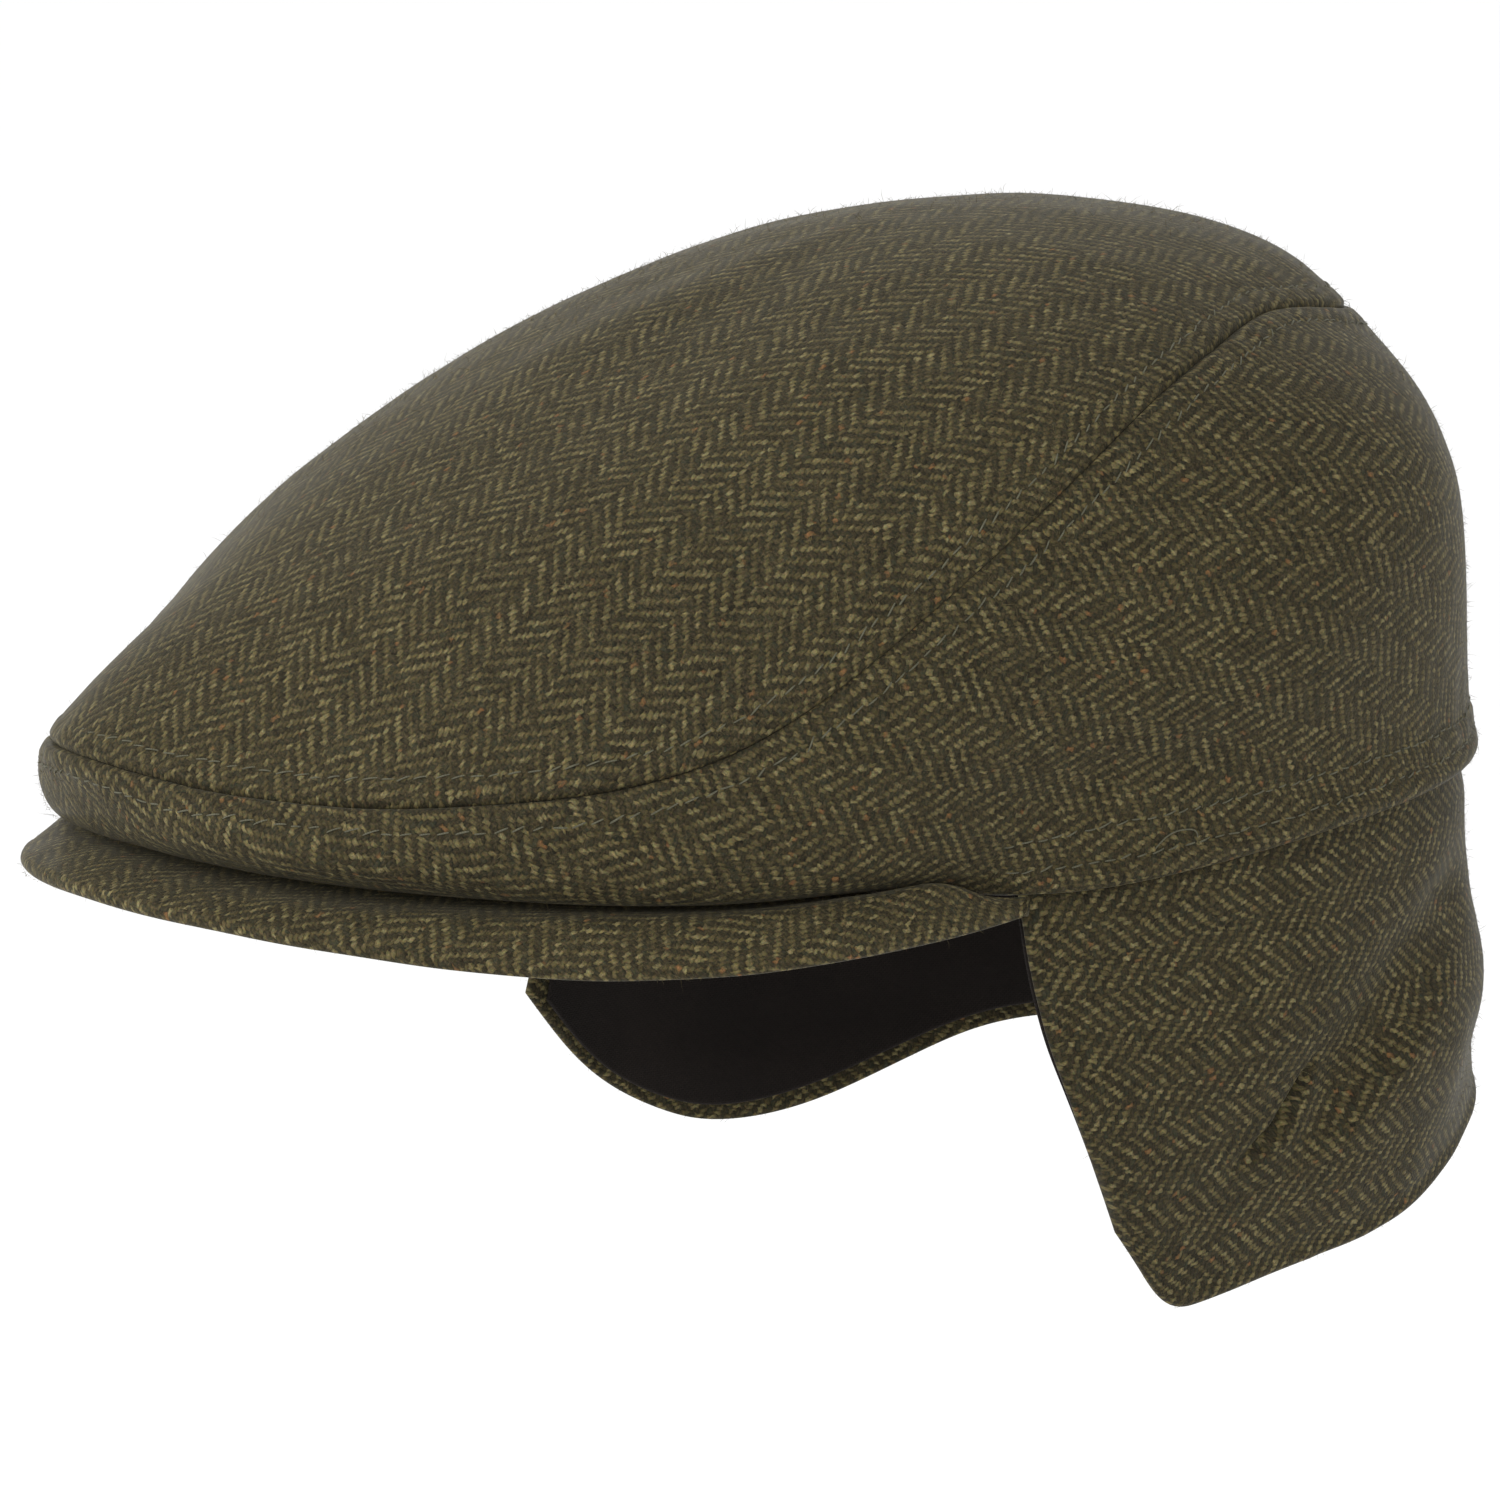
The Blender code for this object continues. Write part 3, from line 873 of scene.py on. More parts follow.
def cap_rise(points, degrees, steps, seed):
    """How far the worn, sewn cloth stands off the smooth surface."""
    turn = turned(degrees)
    away, along = line_place(SEAM_LINE, points)
    ripple = np.sin(2 * math.pi * along / 7.7 + 2.2 * waves(points, 41, 30))
    ripple = ripple * (0.55 + 0.45 * waves(points, 43, 45))
    deep = (1 - 0.85 * hump(turn, 66, 21)) * (1 + 0.38 * waves(points, 49, 22))
    rise = seam_shape(away, deep) + 0.15 * ripple * hump(away, 3.2, 3.4)
    rise = rise + 0.34 * waves(points, seed, 46) * ease(away, 4, 22)
    rise = rise + 0.10 * waves(points, seed + 1, 15) * ease(away, 3, 12)
    if seed == BAND_SEED:
        back, _ = line_place(BACK_LINE, points)
        rise = rise + seam_shape(back, 0.9) * (1 - 0.5 * hump(away, 0, 6))
        rise = rise + ear_fold(points, degrees, turn)
        sewn = ease(turn, HEM_FROM - 3, HEM_FROM + 4)
        height = np.broadcast_to(hem_height(degrees), points.shape[:-1])
        up = steps * height
        hem = 0.62 * ease(up, -0.8, 1.4) * (1 - 0.35 * ease(up, 2.5, 6.0))
        hem = hem * (1 - ease(up, height - 1.2, height + 1.5))
        hem = hem - 0.30 * hump(up, LOWER_ROW, 0.65)
        hem = hem - 0.42 * hump(up, UPPER_ROW_STEP * height, 0.70)
        pull = np.sin(2 * math.pi * turn * 1.53 / 8.3 + 3 * waves(points, 47, 26))
        hem = hem + 0.10 * pull * hump(up, 6.5, 3.5)
        rise = rise * ease(up, 2, 9) * sewn + rise * (1 - sewn) + hem * sewn
        front = 1 - ease(turn, 58, 72)
        rise = rise * (1 - front * (1 - ease(steps, 0.75, 1.0)))
        turn = wrapped(degrees)
        lift = 1.9 * hump(turn, 17, 13) - 1.2 * hump(turn, -16, 11)
        rise = rise - lift * hump(steps, 1.02, 0.26)
    return rise


def ear_fold(points, degrees, turn):
    """The band swells over the ear and tucks in above the hem, most on the wearer's left."""
    over = points[..., 2] - FACE.at(wrapped(degrees), FOLD)[..., 2]
    size = hump(turn, 84, 17) * np.where(wrapped(degrees) > 0, 1.0, 0.7)
    return size * (1.2 * hump(over, 19, 8) - 1.5 * hump(over, 7.5, 5))


CROWN_SEED, BAND_SEED = 3, 8
LOWER_ROW = 4.0  # from the rim to the hem's lower stitches
NEAR_SEAM = [0.06, 0.4, 0.8, 1.2, 1.7, 2.3, 3.0, 3.7, 4.3, 4.8, 5.3, 6.0, 7.0, 8.4]


def steps_by_length(degrees, low, high, rows):
    """Steps on each meridian at lengths along it. rows gives, from a whole length, the lengths."""
    fine = np.linspace(low, high, 181)
    line = FACE.at(wrapped(degrees)[:, None], fine[None])
    run = np.cumsum(np.linalg.norm(np.diff(line, axis=1), axis=2), axis=1)
    run = np.concatenate([np.zeros((len(run), 1)), run], axis=1)
    return np.array([np.interp(rows(r[-1]), r, fine) for r in run])


# ---------------------------------------------------------------- flat patterns


def lengths_up(points):
    run = np.linalg.norm(np.diff(points, axis=1), axis=2).cumsum(1)
    return np.concatenate([np.zeros((len(points), 1)), run], axis=1)


def read_up(grid, steps, fine, fine_points):
    """Flat places known at a few steps, read at fine steps by their length along the cloth."""
    runs = lengths_up(fine_points)
    return np.stack(
        [spline(np.interp(steps, fine, run), row, run) for row, run in zip(grid, runs)]
    )


def halved(x, y):
    """Triangles between a closed ring and the next, which has half as many points."""
    x, y = np.append(x, x[0]), np.append(y, y[0])
    parts = ((x[:-2:2], x[1::2], y[:-1]), (x[1::2], y[1:], y[:-1]), (x[1::2], x[2::2], y[1:]))
    return np.concatenate([np.stack(part, 1) for part in parts])


def crown_pattern():
    """The top panel laid flat: places in the cloth by angle and step."""
    counts = [96] * 7 + [48] * 3 + [24] * 2 + [12, 1]
    steps = np.linspace(SEAM, APEX, len(counts))
    rings, start, triangles, number = [], [], [], 0
    for count, step in zip(counts, steps):
        turns = np.linspace(-180, 180, count + 1)[:-1]
        ring = FACE.at(turns, step)
        rest = FACE.at(turns[:, None], np.linspace(step, APEX, 40)[None])
        a, run = np.radians(turns), lengths_up(rest)[:, -1]
        start.append(np.stack([run * np.sin(a), -run * np.cos(a)], -1))
        rings.append(ring)
        x = np.arange(count) + number
        number += count
        if count == 1:
            continue
        after = counts[len(rings)]
        y = np.arange(after) + number
        if after == count:
            xx, yy = np.append(x, x[0]), np.append(y, y[0])
            triangles += [np.stack([xx[:-1], xx[1:], yy[1:]], 1), np.stack([xx[:-1], yy[1:], yy[:-1]], 1)]
        elif after == 1:
            triangles.append(np.stack([x, np.roll(x, -1), np.full(count, number)], 1))
        else:
            triangles.append(halved(x, y))
    points, triangles = np.concatenate(rings), np.concatenate(triangles)
    flat = flatten(points, triangles, np.concatenate(start), 120)
    flat = upright(flat, counts[0] // 2, 0)
    grid, at = [], 0
    for count in counts:
        ring = flat[at : at + count]
        at += count
        if count == 1:
            grid.append(np.repeat(ring, len(TURNS), 0))
            continue
        turns = np.linspace(-180, 180, count + 1)[:-1]
        more = min(6, count)
        knots = np.concatenate([turns[-more:] - 360, turns, turns[:more] + 360])
        grid.append(spline(knots, np.concatenate([ring[-more:], ring, ring[:more]]), TURNS))
    fine = np.linspace(SEAM, APEX, 101)
    up = read_up(np.stack(grid, 1), steps, fine, FACE.at(TURNS[:, None], fine[None]))
    return Table(TURNS, fine, up), flat_area(points, triangles)


def band_pattern():
    """The side band laid flat, a horseshoe open at the back."""
    turns = np.linspace(-180, 180, 97)
    steps = np.concatenate([np.linspace(RIM, FOLD, 5), np.linspace(FOLD, SEAM, 11)[1:]])
    points = cap_surface(turns, steps)
    run = lengths_up(points)
    middle = points[:, 4]
    along = np.linalg.norm(np.diff(middle, axis=0), axis=1).cumsum()
    along = np.concatenate([[0], along]) - along[-1] / 2
    bend = along[-1] / (math.pi / 2)
    reach = bend + run - run[:, 4:5]
    a = (along / bend)[:, None]
    start = np.stack([reach * np.sin(a), -reach * np.cos(a)], -1)
    triangles = grid_triangles(len(turns), len(steps))
    flat = flatten(points.reshape(-1, 3), triangles, start.reshape(-1, 2), 200)
    grid = flat.reshape(len(turns), len(steps), 2)
    left, right = grid[-1].mean(0), grid[0].mean(0)
    front = grid[len(turns) // 2].mean(0)
    way = unit((left + right) / 2 - front)
    grid = grid @ np.array([[way[1], way[0]], [-way[0], way[1]]])
    grid = grid - (grid.min((0, 1)) + grid.max((0, 1))) / 2
    fine = np.linspace(RIM, SEAM, 221)
    up = read_up(grid, steps, fine, cap_surface(turns, fine))
    around = spline(turns, up.reshape(len(turns), -1), TURNS)
    area = flat_area(points.reshape(-1, 3), triangles)
    return Table(TURNS, fine, around.reshape(len(TURNS), len(fine), 2)), area


def flap_pattern(lowest=-0.8):
    """The flap laid flat, its warp level at the centre back."""
    across = np.linspace(0, 1, 49)
    down = np.concatenate([[lowest, lowest / 2], np.linspace(0, 1, 9)])
    points = flap_surface(across, down)
    along = np.linalg.norm(np.diff(points[:, 5], axis=0), axis=1).cumsum()
    along = np.concatenate([[0], along]) - along[-1] / 2
    run = lengths_up(points)
    start = np.stack([np.broadcast_to(along[:, None], run.shape), run - run[:, 2:3]], -1)
    triangles = grid_triangles(len(across), len(down))
    flat = flatten(points.reshape(-1, 3), triangles, start.reshape(-1, 2), 120)
    grid = flat.reshape(len(across), len(down), 2)
    way = unit(grid[28, 5] - grid[20, 5])
    grid = grid @ np.array([[way[0], -way[1]], [way[1], way[0]]])
    grid = grid - (grid.min((0, 1)) + grid.max((0, 1))) / 2
    fine_down = np.linspace(lowest, 1, 181)
    up = read_up(grid, down, fine_down, flap_surface(across, fine_down))
    fine = np.linspace(0, 1, 481)
    around = spline(across, up.reshape(len(across), -1), fine)
    area = flat_area(points.reshape(-1, 3), triangles)
    return Table(fine, fine_down, around.reshape(len(fine), len(fine_down), 2)), area


def swell(degrees, r, z):
    """How far the peak's cover swells up towards the band that stands over it."""
    band = FACE.at(wrapped(degrees)[:, None], np.linspace(0.3, 1.0, 29)[None])
    band_r, band_z = np.hypot(band[..., 0], band[..., 1]), band[..., 2]
    gap = 3.4 + 0.8 * hump(degrees, 17, 13)
    rise = np.zeros_like(z)
    for k in range(len(r)):
        join, lip = band_r[k, -1] + 0.4, band_z[k, -1] - gap[k]
        need = lip - np.interp(join, r[k], z[k])
        out = np.clip((r[k] - join) / max(r[k, -1] - join, 0.1), 0, 1)
        back = ease(join - r[k], 0, 16)
        shape = need * (1 - 0.75 * out - 0.25 * out**2) * (1 - back)
        room = np.interp(r[k], band_r[k], band_z[k] - 0.7) - z[k]
        rise[k] = np.where(r[k] < join, np.minimum(shape, np.maximum(room, 0)), shape)
    return rise * (1 - ease(np.abs(degrees), 60, 70))[:, None]


def peak_top(degrees, across, full=True):
    """Upper face of the peak from its root, 0 across, to its brim, 2, with the ways out
    along it and up from it."""
    shares = [row[0] for row in PEAK]
    c = between_rows(PEAK_COLUMNS, PEAK, shares, turned(degrees) / PEAK_CORNER, 0)
    reach, height = meridians(degrees)
    root_r, root_z = reach[:, 0] + 0.4, height[:, 0] - GAP - 0.5
    right = np.clip(-degrees / PEAK_CORNER, 0, 1)
    droop = PEAK_DROOP * np.sin(math.pi * right) ** 2
    mid_z, edge_z = c["mid_z"] - 0.5 * droop, c["edge_z"] - droop
    brim_r, brim_z = c["edge_r"] - 1.35, edge_z + PEAK_THICK - 0.35
    r = spline([0, 1, 2], [root_r, c["mid_r"], brim_r], across).T
    z = spline([0, 1, 2], [root_z, mid_z, brim_z], across).T
    if full:
        z = z + swell(degrees, r, z)
    slope = np.arctan2(np.gradient(z, axis=1), np.gradient(r, axis=1))
    at = degrees[:, None]
    way = placed(at, np.cos(slope), np.sin(slope))
    return placed(at, r, z), way, placed(at, -np.sin(slope), np.cos(slope))


def peak_pattern():
    """The peak's cover laid flat."""
    turns = np.linspace(-PEAK_CORNER, PEAK_CORNER, 73)
    across = np.concatenate([np.linspace(0, 1.5, 6), np.linspace(1.6, 2, 5)])
    points, _, _ = peak_top(turns, across)
    triangles = grid_triangles(len(turns), len(across))
    flat = flatten(points.reshape(-1, 3), triangles, points[..., :2].reshape(-1, 2), 80)
    grid = flat.reshape(len(turns), len(across), 2)
    way = unit(grid[36, 0] - grid[36, -1])
    grid = grid @ np.array([[way[1], way[0]], [-way[0], way[1]]])
    grid = grid - (grid.min((0, 1)) + grid.max((0, 1))) / 2
    fine = np.linspace(0, 2, 81)
    up = read_up(grid, across, fine, peak_top(turns, fine)[0])
    around = np.linspace(-PEAK_CORNER, PEAK_CORNER, 361)
    values = spline(turns, up.reshape(len(turns), -1), around)
    area = flat_area(points.reshape(-1, 3), triangles)
    return Table(around, fine, values.reshape(len(around), len(fine), 2)), area


CROWN_FLAT, CROWN_AREA = crown_pattern()
BAND_FLAT, BAND_AREA = band_pattern()
FLAP_FLAT, FLAP_AREA = flap_pattern()
PEAK_FLAT, PEAK_AREA = peak_pattern()
# Degrees that each piece's warp is turned from its pattern's own axis
CROWN_GRAIN, BAND_GRAIN, PEAK_GRAIN, FLAP_GRAIN = 5.4, -2.5, 18.0, -2.3


def size_of(table):
    values = table.values.reshape(-1, 2)
    return values.max(0) - values.min(0)


def in_square(flat, table, low, high):
    """A flat pattern's places, scaled into part of the square from low to high."""
    values = table.values.reshape(-1, 2)
    share = (flat - values.min(0)) / (values.max(0) - values.min(0))
    return np.array(low) + share * (np.array(high) - np.array(low))


# ---------------------------------------------------------------- the pieces


def crown_cloth(material):
    around, rest = 400, 44
    degrees = even_angles(around + 1, 0, 360, SEAM)[:-1]
    shares = np.linspace(0, 1, rest + 1)[1:-1]
    lengths = lambda whole: np.concatenate([NEAR_SEAM, 8.4 + (whole - 8.4) * shares])
    steps = steps_by_length(degrees, SEAM, APEX, lengths)
    every = [1] * len(NEAR_SEAM)
    for share in shares:
        every.append(1 if share < 0.5 else 2 if share < 0.75 else 4 if share < 0.88 else 8)
    body = Body()
    layers = []
    for depth in (0.0, CLOTH):
        rows = []
        for k, skip in enumerate(every):
            d, s = wrapped(degrees[::skip]), steps[::skip, k]
            p = FACE.at(d, s)
            rise = cap_rise(p, d, s, CROWN_SEED)
            if depth:
                rise = np.minimum(0.0, rise) * 0.3 - depth
            p = p + OUT.at(d, s) * rise[:, None]
            cloth = CROWN_FLAT.at(d, s)
            rows.append((body.add(p), cloth))
        tip = FACE.at(0.0, APEX)
        rise = cap_rise(tip[None], np.zeros(1), np.full(1, APEX), CROWN_SEED)[0]
        tip = tip + OUT.at(0.0, APEX) * (rise * (not depth) - depth)
        rows.append((body.add(tip[None]), CROWN_FLAT.at(np.zeros(1), APEX)))
        layers.append(rows)

    def faces(corners, cloth, hidden):
        bake = in_square(cloth, CROWN_FLAT, (0.015, 0.015), (0.985, 0.985))
        if hidden:
            corners, cloth, bake = corners[:, ::-1], cloth[:, ::-1], bake[:, ::-1] * 0.07
        body.face(corners, turned_by(cloth, CROWN_GRAIN), bake)

    for hidden, rows in enumerate(layers):
        for (n, a), (m, b) in zip(rows[:-1], rows[1:]):
            nn, mm = np.append(n, n[0]), np.append(m, m[0])
            aa, bb = np.concatenate([a, a[:1]]), np.concatenate([b, b[:1]])
            if len(m) == len(n):
                quad = lambda x, y: np.stack([x[:-1], x[1:], y[1:], y[:-1]], 1)
                faces(quad(nn, mm), quad(aa, bb), hidden)
            elif len(m) == 1:
                fan = lambda x, y: np.stack([x[:-1], x[1:], np.repeat(y[:1], len(n), 0)], 1)
                faces(fan(nn, mm), fan(aa, bb), hidden)
            else:
                for pick in (
                    lambda x, y: np.stack([x[:-2:2], x[1::2], y[:-1]], 1),
                    lambda x, y: np.stack([x[1::2], y[1:], y[:-1]], 1),
                    lambda x, y: np.stack([x[1::2], x[2::2], y[1:]], 1),
                ):
                    faces(pick(nn, mm), pick(aa, bb), hidden)
    (n, a), (m, b) = layers[0][0], layers[1][0]
    nn, mm = np.append(n, n[0]), np.append(m, m[0])
    aa = np.concatenate([a, a[:1]])
    edge = in_square(aa, CROWN_FLAT, (0.015, 0.015), (0.985, 0.985))
    beyond = edge + unit(edge - 0.5) * 0.01
    quad = lambda x, y: np.stack([x[:-1], y[:-1], y[1:], x[1:]], 1)
    cloth = turned_by(aa, CROWN_GRAIN)
    body.face(quad(nn, mm), quad(cloth, cloth), quad(edge, beyond))
    return body.mesh("crown_cloth", [material])


CLOTH = 1.4  # the tweed's thickness
HEM_THICK = 2.0


def in_rows(count, rows, number):
    """First and last section of one of the rows that a long strip's map is cut into."""
    ends = np.linspace(0, count - 1, rows + 1).round().astype(int)
    return ends[number], ends[number + 1] + 1


def band_cloth(material):
    edge = math.degrees(math.asin(0.06 / MERIDIANS[-1][7]))
    degrees = even_angles(451, -180 + edge, 180 - edge, BELLY)
    hem = np.linspace(RIM, FOLD, 16)
    lengths = lambda whole: np.concatenate(
        [(whole - 8.4) * np.linspace(0, 1, 41)[:-1], whole - np.array(NEAR_SEAM[::-1])]
    )
    above = steps_by_length(degrees, FOLD, SEAM, lengths)
    steps = np.concatenate([np.tile(hem[:-1], (len(degrees), 1)), above], axis=1)
    d = degrees[:, None]
    outer = FACE.at(d, steps)
    out = OUT.at(d, steps)
    outer = outer + out * cap_rise(outer, d, steps, BAND_SEED)[..., None]
    cloth = turned_by(BAND_FLAT.at(d, steps), BAND_GRAIN)
    inner_steps = np.concatenate([np.linspace(SEAM, FOLD, 22), np.linspace(FOLD, RIM, 9)[1:]])
    inner_steps = np.tile(inner_steps, (len(degrees), 1))
    inner_steps[:, 0] = steps[:, -1]
    inner = FACE.at(d, inner_steps)
    away, _ = line_place(SEAM_LINE, inner)
    thick = HEM_THICK + (CLOTH - HEM_THICK) * ease(inner_steps, 0.85, 1.1)
    inner = inner - OUT.at(d, inner_steps) * (thick + 0.28 * hump(away, 0, 0.8))[..., None]
    inner_cloth = turned_by(BAND_FLAT.at(d, inner_steps), BAND_GRAIN)
    # The turned edge at the rim, round from the outer face to the inner
    up = unit(outer[:, 1] - outer[:, 0])
    middle, across = (outer[:, 0] + inner[:, -1]) / 2, (outer[:, 0] - inner[:, -1]) / 2
    swing = np.radians([150, 120, 90, 60, 30])
    half = np.linalg.norm(across, axis=-1, keepdims=True)
    turn = [middle + across * math.cos(s) - up * half * 0.9 * math.sin(s) for s in swing]
    turn = np.stack(turn, 1)
    fall = unit(cloth[:, 0] - cloth[:, 1])
    turn_cloth = cloth[:, :1] + fall[:, None] * (np.arange(5, 0, -1) * 0.55)[None, :, None]
    body = Body()
    on, tn, inn = body.add(outer), body.add(turn), body.add(inner)
    rows = 3
    for r in range(rows):
        low, high = in_rows(len(degrees), rows, r)
        pick = slice(low, high)
        x = np.linspace(0.004, 0.996, high - low)[:, None]
        run = np.linalg.norm(np.diff(outer[pick], axis=1), axis=2).cumsum(1)
        y = np.concatenate([np.zeros((high - low, 1)), run / run[:, -1:]], axis=1)
        base = r / rows
        bake = lambda y: np.stack(np.broadcast_arrays(x, base + y), -1)
        body.grid(on[pick], cloth[pick], bake(0.022 + 0.300 * y), flip=True)
        numbers = np.concatenate([inn[pick][:, -1:], tn[pick], on[pick][:, :1]], axis=1)
        wrap = np.concatenate(
            [turn_cloth[pick][:, :1] + 0.5, turn_cloth[pick], cloth[pick][:, :1]], axis=1
        )
        body.grid(numbers, wrap, bake(np.linspace(0.012, 0.022, 7)[None]), flip=True)
        back = np.linspace(0.003, 0.010, inner_steps.shape[1])[None]
        body.grid(inn[pick], inner_cloth[pick], bake(back), flip=True)
        lip = np.concatenate([on[pick][:, -1:], inn[pick][:, :1]], axis=1)
        lip_cloth = np.concatenate([cloth[pick][:, -1:], inner_cloth[pick][:, :1]], axis=1)
        body.grid(lip, lip_cloth, bake(np.array([[0.322, 0.328]])), flip=True)
    # The two ends, which meet at the centre back
    for i, flip in ((0, False), (len(degrees) - 1, True)):
        outer_side = on[i]
        inner_side = np.concatenate([inn[i], tn[i]])[::-1]
        faces = strip(outer_side, inner_side)
        if flip:
            faces = faces[:, ::-1]
        spot = np.full((len(faces), 3, 2), 0.5)
        spot[..., 0] = [0.9965, 0.999, 0.9965]
        spot[..., 1] = [0.3295, 0.3295, 0.3315]
        body.face(faces, np.zeros((len(faces), 3, 2)), spot)
    return body.mesh("band_cloth", [material])


def strip(one, other):
    """Triangles between two lines of point numbers that start and end side by side."""
    faces = []
    i = j = 0
    while i < len(one) - 1 or j < len(other) - 1:
        ahead = (i + 1) / max(len(one) - 1, 1) <= (j + 1) / max(len(other) - 1, 1)
        if j == len(other) - 1 or (ahead and i < len(one) - 1):
            faces.append([one[i], one[i + 1], other[j]])
            i += 1
        else:
            faces.append([one[i], other[j + 1], other[j]])
            j += 1
    return np.array(faces)


def lining_depth(degrees, steps):
    """How far behind the cap's outer face its lining hangs. It passes inside the flap."""
    flap = ease(turned(degrees), HEM_FROM - 4, HEM_FROM + 1)
    low = 1 - ease(steps, 0.95, 1.9)
    return 1.75 + (0.55 + 4.3 * flap) * low


def cap_lining(material):
    degrees = even_angles(201, 0, 360, BELLY)[:-1]
    band_steps = np.concatenate([[0.10, 0.16, 0.3, 0.5, 0.7, 0.85], np.linspace(1, SEAM, 17)])
    crown_steps = np.linspace(SEAM, APEX, 30)[1:-1]
    steps = np.concatenate([band_steps, crown_steps])
    split_at = len(band_steps) - 1
    d = wrapped(degrees)[:, None]
    s = steps[None]
    base, out = FACE.at(d, s), OUT.at(d, s)
    away, along = line_place(SEAM_LINE, base)
    pucker = np.sin(2 * math.pi * along / 13 + 3 * waves(base, 61, 40)) * hump(away, 5, 7)
    slack = 0.22 * waves(base, 62, 22) + 0.25 * pucker
    depth = lining_depth(d, s) + 0.30 + slack * ease(s, 0.2, 1.2)
    depth = depth + 0.5 * hump(away, 0, 1.0)
    body = Body()
    tip, top = FACE.at(0.0, APEX), OUT.at(0.0, APEX)
    tip_cloth = CROWN_FLAT.at(0.0, APEX)
    last = len(steps) - 1
    sheets = []
    for thick in (0.0, 0.5):
        shift = depth + thick * np.where(np.arange(len(steps)) == 0, 0.6, 1.0)[None]
        numbers = body.add(base - out * shift[..., None])
        end = body.add((tip - top * (1.75 + 0.3 + thick))[None])[0]
        sheets.append((numbers, end))
    band_map = BAND_FLAT.at(d, np.minimum(s, SEAM))
    crown_map = CROWN_FLAT.at(d, np.maximum(s, SEAM))
    x = np.arange(len(degrees) + 1)[:, None] / len(degrees)
    for hidden, (numbers, end) in enumerate(sheets):
        # the inner face is the one that shows
        shown = hidden == 1
        size = 1.0 if shown else 0.05
        nn = np.concatenate([numbers, numbers[:1]])
        y = np.linspace(0.51, 0.99, split_at + 1)[None]
        bake = np.stack(np.broadcast_arrays(0.005 + 0.9 * x, y), -1)
        bake = bake if shown else np.array([0.92, 0.0]) + bake * np.array([0.05, 1])
        bm = np.concatenate([band_map, band_map[:1]])
        body.grid(nn[:, : split_at + 1], bm[:, : split_at + 1], bake, flip=not shown)
        cm = np.concatenate([crown_map, crown_map[:1]])
        low, high = ((0.01, 0.01), (0.49, 0.49)) if shown else ((0.55, 0.01), (0.6, 0.06))
        crown_bake = in_square(cm, CROWN_FLAT, low, high)
        body.grid(nn[:, split_at:], cm[:, split_at:], crown_bake[:, split_at:], flip=not shown)
        fan = np.stack([nn[:-1, last], nn[1:, last], np.full(len(degrees), end)], 1)
        mid = np.broadcast_to(tip_cloth, (len(degrees), 2))
        fan_cloth = np.stack([cm[:-1, last], cm[1:, last], mid], 1)
        fan_bake = in_square(fan_cloth, CROWN_FLAT, low, high)
        order = slice(None, None, -1) if shown else slice(None)
        body.face(fan[:, order], fan_cloth[:, order], fan_bake[:, order])
    (a, _), (b, _) = sheets
    aa, bb = np.append(a[:, 0], a[0, 0]), np.append(b[:, 0], b[0, 0])
    lip = np.stack([bb, aa], 1)
    lip_map = np.concatenate([band_map[:, :1], band_map[:1, :1]])
    lip_map = np.concatenate([lip_map, lip_map + 0.5], axis=1)
    y = np.array([[0.495, 0.505]])
    lip_bake = np.stack(np.broadcast_arrays(0.005 + 0.9 * x, y), -1)
    body.grid(lip, lip_map, lip_bake, flip=True)
    return body.mesh("cap_lining", [material])


